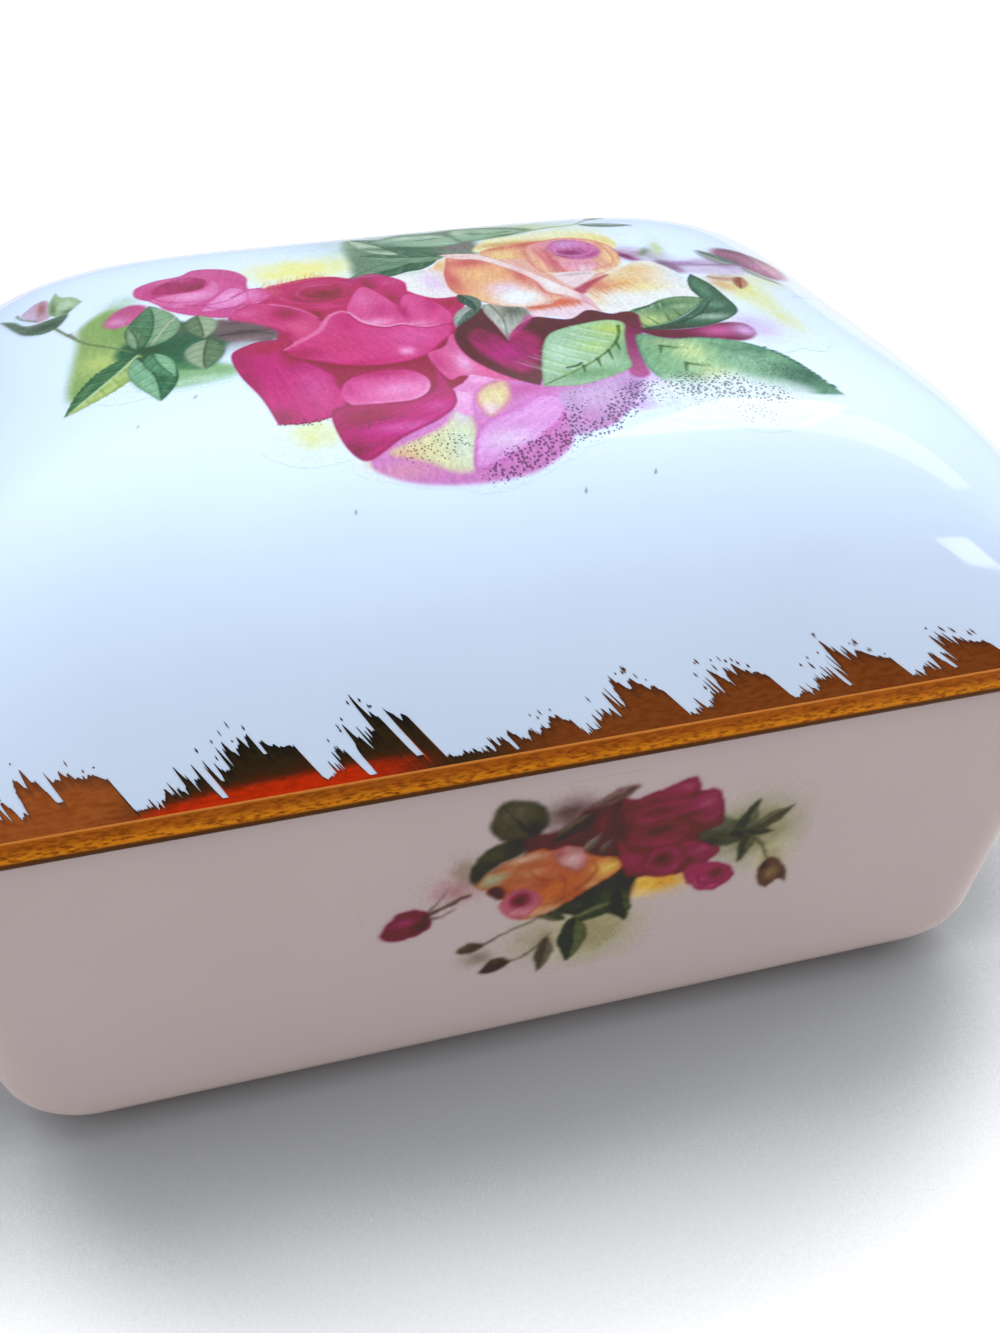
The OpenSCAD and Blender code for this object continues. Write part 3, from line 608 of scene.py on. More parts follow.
def paint_lilac_petals(c):
    """The pale lilac bloom under the big rose, which breaks up into printed dots."""
    c.petal([(-10.6, -27.4), (-9.4, -28.9), (-6.6, -29.8), (-2.4, -30.2), (2, -29.9), (5, -28.6),
            (6.3, -27.2), (9, -27), (11.6, -25.2), (13.7, -22.4), (13.5, -20), (9, -19.6), (5, -19.4),
            (2, -18.4), (-4, -20), (-8, -24)], LILAC, [(-8, -28.6, 2.6, 0.8, (240, 170, 190), 0.7),
            (3, -21.4, 3, 1, (206, 96, 170), 0.8), (11, -23.4, 3, 2.4, (204, 164, 218), 0.8),
            (14, -23, 1.4, 2.4, (222, 170, 240), 0.7)], soft=0.25)
    c.petal([(-9.2, -26.9), (-6, -25.6), (-4, -24.6), (-2.6, -22.8), (-1.6, -23.6), (-1.6, -25.8),
            (-2.4, -29), (-4.2, -29.3), (-6.4, -28.2)], (234, 232, 182),
            [(-3, -27, 1.4, 2.4, (226, 240, 220), 0.9), (-2.4, -24, 1, 1, (226, 214, 240), 0.8), (-7.8,
            -27.2, 1.4, 0.8, (240, 186, 150), 0.7)], line=((220, 140, 196), 0.3))
    c.petal([(-2.6, -22), (-1.8, -20.2), (-0.6, -20.6), (-1.2, -22.4), (-1.6, -24.2), (-3, -23)],
            (244, 170, 226), [(-2, -21.4, 0.7, 0.9, (250, 196, 240), 0.8)])
    c.petal([(-1.9, -18.2), (-0.4, -18.4), (1.4, -18.8), (2.2, -19.8), (0.4, -20), (-1, -21), (-2.6, -20)],
            (238, 150, 210), [(0.2, -19.2, 1, 0.5, (250, 190, 236), 0.8)])
    c.petal([(-1.8, -26.2), (-0.4, -24.8), (2, -23.9), (4, -22.7), (5.6, -22.6), (6.4, -23.8), (5.4, -25.8),
             (3, -27.5), (0, -28.8), (-2, -29.3), (-2.7, -28.8)], (236, 166, 232),
            [(0.6, -27, 2.4, 1, (248, 214, 255), 0.95), (3.6, -24.6, 1.8, 1, (240, 176, 238), 0.7)],
            line=((206, 96, 184), 0.3), streak=(35, 0.12))
    c.petal([(2.3, -19.8), (0.6, -20), (-0.8, -21.8), (-0.7, -23.9), (0.1, -24.6), (1.7, -23.2),
            (2.4, -21.6)], (240, 224, 172), [(1.4, -20.4, 1, 0.8, (226, 190, 160), 0.8),
            (0.1, -23.6, 0.9, 0.8, (250, 222, 238), 0.9)], line=((206, 96, 164), 0.42))
    c.petal([(6.2, -22.6), (9.5, -22), (13.4, -20.7), (13.6, -22.4), (11.8, -25), (9, -26.7), (6, -27.4),
            (6, -25)], (206, 166, 216), [(9, -23.6, 2, 1.4, (222, 190, 232), 0.8), (12.6, -23.4, 0.8, 1.8,
            (172, 126, 190), 0.7), (7.4, -26, 1.6, 1, (222, 150, 214), 0.6)], soft=0.3)
    c.petal([(13.4, -20.6), (14.6, -20.4), (15.6, -24), (13.6, -25.6), (11.4, -25.4), (13.4, -22.8)],
            (222, 182, 244), soft=0.5, cover=0.8)
    c.glow(18.5, -24.6, 5.4, 1.7, (226, 232, 246), 0.7)
    for dots in ((2.4, -28.4, 4.8, 1.3, 0.9, 18), (6.2, -26.2, 1.2, 2.6, 0.85, -25),
                                        (-5.2, -26.9, 3.4, 1.5, 0.6, 10), (11.4, -24.6, 3.6, 1.4, 0.95, 42),
                                        (8.4, -27, 2.8, 0.9, 0.9, 15), (8.6, -23.4, 2.6, 2.4, 0.45, 0),
                                        (18.6, -25.2, 5.0, 1.2, 0.4, -4), (21.4, -27.2, 2.8, 1.3, 0.5, -20),
                                        (-14.8, -22.4, 2.2, 0.5, 0.8, -4), (-9.4, -23.6, 1.4, 0.6, 0.6, 25),
                                        (-10.4, -26.4, 1.2, 0.7, 0.5, 20), (-28, -13, 2, 1.4, 0.35, 0)):
        c.speckle(*dots)


def paint_right_leaves(c):
    """The leaves to the right of the dark rose, and the maroon stems between them."""
    c.petal([(16.2, -12.6), (18.4, -13.4), (21, -13.8), (24.4, -13), (26.4, -13.6), (26.4, -16),
            (24.6, -17.2), (22, -16.4), (19.4, -16), (17.2, -14.8)], (120, 56, 78), [(23.2, -14.8, 1.9, 1.4,
            (218, 110, 170), 0.95), (25.8, -15, 1.2, 1.6, (226, 180, 234), 0.95)], soft=0.3,
            streak=(-15, 0.2))
    c.petal([(16.4, -12.9), (19, -12.4), (21.4, -11), (23.8, -8.6), (24.8, -6.6), (24.9, -4), (25.6, -1.4),
             (26.6, 0.4, 0), (27.4, -2.4), (27.5, -6), (27.3, -9.6), (26, -11.6), (23.6, -13.2), (21, -13.8),
             (18.4, -13.5)], (72, 110, 88),
            [(24, -11.4, 1.9, 0.8, (172, 194, 180), 0.95), (26, -4, 0.7, 3, (104, 146, 118), 0.8),
             (25.4, -8.4, 1.2, 0.9, (122, 164, 138), 0.7), (19, -13.2, 3, 0.5, (88, 84, 76), 0.8)],
            line=((56, 86, 70), 0.25), streak=(60, 0.25))
    c.stroke([(20.4, -12.4), (23.4, -10.4), (25.4, -7.4)], (0.35, 0.15), (52, 84, 68), 0.8)
    c.stroke([(22.4, -10.6), (25, -10.2), (26.8, -8.6)], (0.22, 0.1), (58, 92, 74), 0.8)
    c.petal([(16.3, -12.9, 0), (16.2, -10.8), (17.2, -8.5), (19.4, -7.4), (21, -6.3), (23, -5.8), (25, -6.6),
             (24, -8.4), (21.4, -10.9), (19, -12.4)], (132, 166, 120),
            [(19.6, -7.8, 3.6, 1.2, (76, 118, 90), 0.95), (18, -11.2, 1.8, 1.4, (204, 222, 150), 0.9),
             (22.2, -8.4, 1.4, 0.7, (178, 200, 160), 0.7)], line=((60, 98, 76), 0.2), streak=(70, 0.2))
    for x, y, u, v in ((18.6, -12.2, 18.2, -10.2), (21.3, -10.6, 21.2, -8.8), (19.9, -11.6, 20.2, -9.6),
            (17.4, -12.6, 17, -10.8)):
        c.stroke([(x, y), (u, v)], (0.25, 0.08), (80, 110, 74), 0.75)
    for offset in (0, 1.1, 2.2):
        c.fringe((17.2 + offset, -9.2 + offset * 0.7), (18.6 + offset, -8.4 + offset * 0.6), (-0.3, -1.5),
                6, (208, 226, 182), cover=0.5)
    c.stroke([(16.5, -9.6), (15.9, -12.4), (14.9, -15.4), (14, -18.4), (13.7, -21)], (2.2, 1.7),
            (112, 44, 66), 0.95, 0.25, (182, 84, 140))
    c.petal([(16, -14), (18.4, -15.6), (21, -15.9), (24, -17.2), (26, -18.9), (27.6, -21), (29, -24),
            (30.2, -26, 0), (27.5, -25.9), (25, -25.2), (22, -24), (19.5, -24.2), (17.4, -24.3),
            (15.4, -22.8), (14.6, -20.4), (15, -17)], (132, 180, 142),
            [(16.4, -19.6, 1.4, 3.4, (134, 184, 134), 0.7), (19.2, -18.4, 1.7, 2.6, (208, 230, 166), 0.95),
            (20, -22.4, 1.8, 1.6, (212, 232, 178), 0.9), (27.6, -23.8, 2.4, 2.2, (62, 108, 88), 0.95),
            (25, -19, 2, 1.2, (84, 130, 106), 0.7), (17.4, -16, 1.4, 0.9, (176, 196, 150), 0.7),
            (23.4, -20.6, 2, 1.4, (150, 190, 160), 0.8), (18.6, -24.6, 4.4, 1, (232, 240, 246), 0.95)],
            line=((84, 128, 104), 0.25), streak=(55, 0.22), soft=0.2)
    c.petal([(13.6, -23), (16, -22.4), (18.4, -23), (21.6, -22.6), (24, -23.8), (27.6, -25.4), (25, -27.4),
             (18, -27), (13.6, -25.6)], (238, 252, 258), soft=1.0, cover=0.85)
    for dots in ((18.4, -23.6, 4.4, 1.9, 0.85, -4), (22.6, -25.2, 3.4, 1.2, 0.8, -18),
                                        (15, -23.6, 2.6, 1.6, 0.7, 10), (25.6, -22.6, 2.4, 1.4, 0.6, -40)):
        c.speckle(*dots)
    c.fringe((26, -18.7), (29.8, -25.4), (0.5, -0.1), 16, (62, 106, 86), width=0.3, cover=0.9)
    c.stroke([(21.6, -17.4), (24.6, -21), (29.6, -25.7)], (0.5, 0.15), (104, 150, 122), 0.6, 0.3)
    for k in range(5):
        c.stroke([(23 + 1.3 * k, -19 - 1.4 * k), (24.6 + 1.1 * k, -18.9 - 1.5 * k)], (0.25, 0.1),
                (84, 130, 104), 0.6, 0.2)
        c.stroke([(22.8 + 1.3 * k, -19.6 - 1.2 * k), (22.7 + 1.5 * k, -21.6 - 0.9 * k)], (0.22, 0.1),
                (108, 152, 128), 0.5, 0.2)
    for x, y in ((17.1, -16.9), (18.1, -20.4)):
        c.stroke([(x, y), (x - 0.5, y - 1.2)], (0.36, 0.14), (64, 96, 50), 0.75, 0.16)
        c.stroke([(x, y), (x + 1.2, y - 0.7)], (0.4, 0.14), (78, 108, 56), 0.75, 0.16)
        c.fringe((x + 0.2, y), (x + 2, y - 0.6), (0.2, -0.7), 6, (96, 124, 64))
    c.petal([(5.1, -21.4, 0), (6, -18), (7.4, -13.8), (9, -11.4), (12, -10.3), (14.5, -10), (15.7, -11.2),
            (14.8, -14), (13.8, -17.6), (13.3, -20), (11, -21.2), (8, -21.9)], (174, 212, 176),
            [(14, -12.4, 1.7, 1.9, (196, 220, 120), 0.95), (11.6, -15.6, 1.6, 1.2, (196, 226, 136), 0.8),
            (13.4, -17, 1, 2.4, (138, 180, 136), 0.9), (9.6, -20.3, 3.4, 1, (122, 168, 120), 0.95),
            (6.2, -20.8, 1.4, 1, (160, 190, 160), 0.8), (8.4, -16, 1.4, 1.8, (200, 234, 208), 0.8)],
            line=((126, 164, 120), 0.22), streak=(65, 0.1), soft=0.16)
    c.stroke([(15, -11.6), (14.2, -14), (12.6, -16.4), (10.4, -18.4), (8, -19.9), (5.4, -21.2)], (0.34, 0.14),
             (84, 116, 60), 0.85)
    for x, y in ((14.3, -13.6), (13.5, -15), (12.6, -16.2), (11.5, -17.3), (10.3, -18.3), (9, -19.2),
            (7.7, -20)):
        c.stroke([(x, y), (x - 1.6, y + 1.4), (x - 3, y + 3.4)], (0.5, 0.1), (158, 196, 128), 0.55, 0.2)
        c.stroke([(x - 0.6, y + 0.1), (x - 2.2, y + 1.6), (x - 3.6, y + 3.2)], (0.4, 0.1), (228, 246, 226),
                0.5, 0.2)
    for x, y, u, v in ((12.4, -16.6, 12.2, -18.4), (11, -17.9, 10.8, -19.4), (9.4, -18.9, 9.2, -20),
            (13.6, -15, 13.4, -16.8)):
        c.stroke([(x, y), (u, v)], (0.34, 0.1), (70, 104, 58), 0.85)
    c.stroke([(8, -18.9), (8.8, -18.8), (9.4, -18.4)], (0.3, 0.3), (58, 92, 58), 0.85)


def paint_left_flowers(c):
    """The small pink rose, the leaf cluster under it and the bud on its long stem."""
    c.petal([(-29.2, 4), (-28.2, 6.4), (-26.6, 7.6), (-25.2, 6.6), (-25.6, 4), (-27, 2.6), (-28.6, 2.4)],
            (202, 96, 146), [(-28, 3.8, 1, 1.2, (234, 160, 204), 0.9)], soft=0.4, streak=(70, 0.15))
    c.petal([(-26, 9.4), (-25.9, 12), (-24, 13.4), (-21.6, 13.9), (-20, 15.3), (-17.8, 14.8), (-16.2, 13.4),
            (-15.3, 11), (-15.6, 8), (-14.2, 7.6), (-13.7, 5), (-15.4, 3.6), (-16.8, 3), (-17.8, 0.8),
            (-19.6, 1.2), (-22, 3), (-23.6, 5), (-24.4, 7.2)], (220, 98, 158),
            [(-22.4, 12.6, 2.6, 1, (226, 122, 172), 0.7), (-18, 13.6, 1.6, 1, (214, 100, 158), 0.7),
            (-24.4, 9.6, 0.9, 2, (200, 76, 134), 0.8), (-19.6, 3, 2, 1.6, (216, 92, 152), 0.6),
            (-15.4, 6, 0.9, 1.6, (244, 144, 204), 0.9)], line=((196, 72, 130), 0.2), soft=0.2,
            streak=(75, 0.14))
    c.petal([(-24.4, 9.6), (-24, 11.4), (-22.6, 12.8), (-20.6, 13.2), (-19.2, 11.8), (-19.4, 10),
            (-20.4, 9.1), (-22.6, 8.9)], (188, 64, 118), [(-20.6, 10, 1.4, 1, (146, 38, 84), 0.9),
            (-22.8, 11.8, 0.8, 0.7, (160, 46, 92), 0.8), (-21.6, 12.6, 1.2, 0.6, (216, 104, 158), 0.7)],
            streak=(85, 0.25))
    c.petal([(-24.8, 8), (-22.4, 8.8), (-20, 8.9), (-19, 10.4), (-18.6, 12), (-18, 9.6), (-18.6, 7),
            (-20.4, 5.4), (-22.8, 5)], (236, 128, 186), [(-20.8, 7.6, 1.8, 1, (252, 172, 220), 0.95),
            (-23.6, 6.6, 1.2, 0.8, (222, 106, 166), 0.7)], line=((206, 84, 142), 0.16), streak=(60, 0.12))
    c.petal([(-18.4, 7), (-17.2, 8.6), (-16, 7.8), (-15.7, 5.6), (-16.8, 3.8), (-18.8, 3), (-20.4, 3.4)],
            (242, 142, 204), [(-17.4, 6, 1.2, 1.4, (255, 176, 226), 0.9)], line=((206, 84, 148), 0.16),
            streak=(60, 0.1))
    for x, y, r, start, sweep in ((-19, 8.6, 3.4, -60, 120), (-19.6, 7.6, 3.2, 230, 120),
            (-20.6, 9.6, 4, 195, 90), (-17.6, 5.4, 2.6, 200, 120)):
        c.stroke(arc(x, y, r, start, sweep), (0.3, 0.1), (198, 74, 132), 0.7, 0.2)
    c.petal([(-28.6, -4.4), (-27, -1), (-25, 1.6), (-22.6, 1.4), (-21, 0), (-19, -1), (-18.6, -4),
            (-19.4, -7), (-20.6, -10), (-22.6, -10.4), (-25, -9), (-27.4, -7.4)], (64, 112, 84),
            [(-22.6, -0.6, 1.8, 1.8, (96, 110, 96), 0.9), (-19.6, -2, 1.4, 2.4, (120, 112, 108), 0.9),
            (-22.4, -9.4, 2.6, 1.4, (100, 152, 108), 0.8)], soft=0.6, streak=(40, 0.2))
    c.petal([(-19.4, 0.2), (-17.4, -0.6), (-15.4, -2.4), (-14.3, -4.6), (-15.2, -6.2), (-17.4, -5.6),
            (-19.4, -4.6)], (124, 108, 110), [(-17, -3.4, 2, 0.5, (84, 76, 76), 0.8),
            (-17, -5.4, 1.8, 0.6, (156, 136, 138), 0.8), (-18, -1, 1.2, 0.6, (116, 92, 98), 0.8)], soft=0.5,
            streak=(-15, 0.2))
    c.stroke([(-19.4, -3.6), (-17, -3.4), (-14.8, -4.6)], (0.35, 0.15), (84, 76, 76), 0.8, 0.2)
    c.stroke([(-33.6, 6.4), (-32.6, 3.8), (-31, 0.4), (-29, -2), (-27, -4.4)], (0.35, 0.3), (118, 140, 96),
            0.9, 0.15)
    c.leaf((-26.2, -4), (-24.9, 6.6), 2.5, (86, 134, 98), (150, 186, 148), -0.12, -1, 6, rib=(60, 104, 74))
    c.stroke([(-24.2, 5.6), (-22.8, 3), (-23.8, 0.6), (-25.4, -3.4)], (0.14, 0.14), (240, 214, 206), 0.7)
    c.leaf((-26.6, -4), (-27.2, 2), 0.85, (104, 144, 106), (156, 190, 150), -0.1, 1, 2, soft=0.2)
    c.leaf((-26.6, -5), (-33.2, -14.4), 2.1, (72, 122, 86), (196, 218, 132), 0.06, 1, 6,
            rib=(210, 232, 196), teeth=0.1)
    c.leaf((-26.8, -5.8), (-25.5, -15.8), 2.0, (66, 116, 84), (150, 202, 162), 0.12, -1, 6, rib=(48, 92, 66))
    c.leaf((-25.4, -5.4), (-23.9, -11.4), 1.25, (96, 152, 112), (156, 208, 166), -0.1, 1, 4)
    c.leaf((-20.9, 2.2), (-20.8, -3.7), 1.5, (112, 138, 106), (176, 196, 162), 0.03, 1, 4,
            rib=(84, 104, 72), soft=0.25)
    c.leaf((-20.5, -4), (-21.4, -10.9), 1.75, (108, 138, 104), (168, 190, 160), -0.06, -1, 5,
            rib=(72, 100, 68), soft=0.25)
    c.glow(-25.6, -4.4, 1.6, 1.2, (44, 92, 64), 0.9)
    c.petal([(-36.9, 13.6), (-36.2, 15), (-35.4, 15.8), (-34.4, 15.4), (-34, 12.4), (-34.2, 10),
            (-35.6, 10.2)], (212, 184, 212), [(-34.9, 13.4, 0.45, 2.2, (178, 112, 110), 0.95),
            (-36, 12.4, 0.5, 1.6, (226, 196, 226), 0.7)], soft=0.25)
    c.petal([(-34.1, 10.6), (-34.2, 14), (-33.5, 16.9, 0), (-33, 15), (-31.8, 13.8), (-31, 11.8, 0),
            (-32, 10.2), (-32.8, 9.2)], (164, 196, 150), [(-32.5, 12, 0.8, 1.8, (206, 226, 196), 0.9),
            (-33.8, 12, 0.3, 2, (96, 124, 88), 0.8), (-32.4, 10.2, 0.7, 0.6, (94, 122, 86), 0.8)],
            soft=0.18)
    c.petal([(-39.1, 15.4, 0), (-37.6, 13), (-36.6, 10.6), (-35.4, 9.7), (-33.4, 9.6), (-32.4, 9.4),
            (-32.8, 7.8), (-33.6, 6.5), (-35, 6.4), (-36.6, 8), (-37.6, 10.4), (-38.4, 13)],
            (104, 126, 108), [(-34.4, 8, 1.4, 0.8, (64, 92, 72), 0.9), (-34.6, 9.7, 1.4, 0.25,
            (206, 214, 190), 0.8)], soft=0.2, streak=(-60, 0.25))
    c.stroke([(-37.4, 14.6), (-36.8, 12.6), (-35.4, 10.4)], (0.3, 0.2), (120, 142, 120), 0.8, 0.15)
    c.stroke([(-32.4, 3.8), (-31.8, 2.2)], (0.5, 0.1), (136, 128, 120), 0.7, 0.15)


def paint_specks(c):
    """A few dark specks that the firing left in the glaze around the spray."""
    for x, y, size in ((-22.8, -16.2, 0.5), (-27.6, -19.4, 0.25), (11.6, -31, 0.2), (5.6, -31.6, 0.2),
            (-12.6, -31, 0.2)):
        c.stroke([(x, y), (x + size * 0.4, y + size * 0.8)], (0.16, 0.08), (110, 122, 130), 0.8, 0.06)


def paint_lid_spray(c):
    """The whole lid spray, from the back to the front."""
    paint_lid_clouds(c)
    paint_top_leaves(c)
    paint_right_bud(c)
    paint_peach_rose(c)
    paint_lilac_petals(c)
    paint_crimson_rose(c)
    paint_dark_rose(c)
    paint_right_leaves(c)
    paint_left_flowers(c)
    paint_specks(c)


# ---------------------------------------------------------------- the spray on the front wall
# Places are millimetres, x to the right of the middle and z up from the table.

OLIVE = (62, 68, 44)
BARK = (96, 70, 56)
# How much the wall's shade takes from red, green and blue in the printed colours
FRONT_DUSK = (0.23, 0.28, 0.28)


def paint_front_clouds(c):
    """Soft colour behind the blooms."""
    for cloud in ((-7.4, 26.4, 2.6, 1.8, (198, 152, 158), 0.9), (5.4, 17, 4.2, 4, (184, 188, 140), 1.2),
                  (0.5, 17.4, 3.4, 3, (186, 184, 150), 0.9), (20.4, 26.4, 4.2, 4.2, (164, 172, 128), 1.2),
                  (17.8, 27.2, 3, 2.6, (118, 126, 92), 0.9), (22.2, 23, 1.8, 3, (190, 192, 150), 0.9),
                  (-6.8, 28.4, 1.4, 2, (150, 138, 118), 0.7), (11.6, 22.3, 3, 1.7, (250, 196, 74), 1.1),
                  (9.8, 22.4, 1.8, 1.4, (252, 214, 84), 1.1), (2.4, 33.4, 2.6, 2, (112, 94, 90), 1.0)):
        c.glow(*cloud)
    c.petal([(-1, 31), (2, 31.8), (5, 34.4), (8, 33), (9, 24), (8, 20), (4, 21), (2, 26), (-1, 28)],
            (78, 36, 40), soft=0.5)
    c.glow(-5.5, 16.4, 1.8, 1.2, (146, 140, 122), 0.7)


def paint_front_leaves(c):
    """Leaves above, below and to the right of the blooms, with two small buds on stems."""
    c.petal([(-4.6, 33), (-4.3, 35), (-3.6, 36.1), (-2, 36.1), (-0.3, 35.2), (0.5, 33.7), (0.3, 32.2),
            (-0.7, 31.2), (-2, 31.3), (-3.4, 31.7)], (80, 84, 62),
            [(-2.6, 34.6, 1.4, 1, (108, 112, 90), 0.8), (-0.6, 32.4, 0.9, 1, (52, 54, 38), 0.8)],
            line=((54, 56, 42), 0.25), streak=(120, 0.3), soft=0.25)
    c.stroke([(-0.6, 31.4), (-2, 33.4), (-3.6, 35.8)], (0.3, 0.1), (46, 48, 36), 0.8)
    c.petal([(-6.4, 27.6), (-6.2, 29), (-5.3, 30.3), (-4, 31.3), (-2.3, 31.6), (-1, 31.2), (-0.8, 30.2),
            (-2.3, 29.3), (-4, 28.5), (-5.3, 27.2), (-5.7, 26.4)], OLIVE,
            [(-4.4, 30, 1.2, 0.8, (88, 92, 66), 0.8)], streak=(40, 0.3), soft=0.2)
    c.petal([(-1.6, 31.2), (0.6, 31.4), (3, 31), (5, 30.4), (4.8, 29), (2.4, 29), (-0.6, 29.4)], (92, 32, 38),
            [(2, 30.6, 2, 0.5, (122, 60, 56), 0.6)], soft=0.25, streak=(0, 0.25))
    c.leaf((1, 30.2), (5, 33.2), 0.75, (72, 66, 54), (116, 110, 92), 0.05, 1, 3)
    c.leaf((4.3, 33.4), (8.4, 35.4), 0.8, (122, 90, 84), (156, 126, 118), 0.05, 1, 3, soft=0.25)
    c.petal([(14.2, 29.4), (16, 29.8), (17.8, 28.8), (19.2, 27.4), (19, 25.8), (17, 25.4), (15, 25.6),
            (14.2, 27.2)], (82, 92, 70), [(16.8, 28.4, 1.4, 0.7, (116, 124, 98), 0.8),
            (15.6, 26.2, 1.2, 0.6, (52, 60, 42), 0.8)], streak=(-20, 0.3), soft=0.25)
    c.leaf((18.8, 26), (20, 30.8), 0.85, (62, 76, 50), (112, 126, 92), 0.1, -1, 4)
    c.leaf((19.6, 27), (23.6, 29.2), 0.8, (78, 86, 60), (124, 130, 100), -0.05, 1, 4)
    c.leaf((19.6, 26.8), (18.8, 22.8), 0.75, (66, 78, 54), (108, 118, 88), 0.1, 1, 4)
    c.leaf((17.4, 27), (22, 26), 0.6, (60, 70, 48), (96, 104, 76), 0.1, 1, 3)
    c.stroke([(19.2, 26.4), (20.8, 25), (22, 22.4)], (0.35, 0.25), (88, 92, 66), 0.85)
    c.petal([(21.4, 21.8), (22.4, 22.6), (23.2, 21.8), (24.1, 20.4), (24.3, 18.6, 0), (23.4, 19.2),
            (22.3, 18.2, 0), (21.5, 19.3), (21.2, 20.6)], BARK, [(22.6, 20.4, 0.7, 1, (158, 138, 86), 0.9),
            (21.7, 21.4, 0.5, 0.6, (62, 48, 40), 0.8)], streak=(80, 0.3), soft=0.16)
    c.petal([(1.6, 21.4), (4, 22.6), (6, 23.8), (7.5, 24.8), (9.2, 23.8), (8.7, 22), (8.5, 20), (8.3, 18.2),
            (6.5, 19.3), (4.5, 19.4), (2.5, 20.3)], (50, 64, 38), [(6.4, 21, 1, 1.4, (82, 100, 60), 0.8),
            (3.4, 21.2, 1.2, 0.5, (84, 96, 62), 0.7)], streak=(50, 0.35), soft=0.18)
    c.leaf((7.4, 22.4), (8.4, 17.6), 0.9, (42, 56, 32), (88, 104, 62), 0.05, 1, 4)
    c.leaf((7.2, 20.4), (2.8, 19.2), 0.9, (60, 78, 46), (126, 142, 102), 0.1, -1, 4)
    c.leaf((2.6, 19.4), (-0.6, 21.2), 0.7, (74, 84, 56), (116, 124, 92), -0.1, 1, 3)
    c.leaf((3.4, 19.4), (3.2, 13.2), 1.4, (50, 68, 40), (104, 122, 80), 0.06, 1, 5, rib=(34, 48, 28))
    c.leaf((1, 17.4), (0.2, 12.6), 0.85, (88, 84, 66), (126, 122, 102), 0.06, 1, 4, soft=0.2)
    c.petal([(-7.4, 18), (-6.3, 18.7), (-5, 18.1), (-6.3, 17.3)], (78, 72, 52),
            [(-6.6, 18.2, 0.6, 0.3, (116, 100, 80), 0.8)], soft=0.18)
    c.stroke([(-5, 18.1), (-3.5, 19), (-1.4, 19.8), (0.4, 20.6)], (0.3, 0.2), (92, 88, 66), 0.75)
    c.petal([(-5.3, 14.2), (-4.3, 15.7), (-3, 15.6), (-2.4, 15), (-3.3, 14.1), (-4.5, 13.8)], (72, 58, 46),
            [(-3.8, 15.2, 0.6, 0.3, (112, 92, 76), 0.7)], soft=0.18)
    c.stroke([(-2.5, 15), (-1.2, 15.4), (0.2, 16.6), (1.4, 18)], (0.28, 0.2), (88, 84, 62), 0.75)


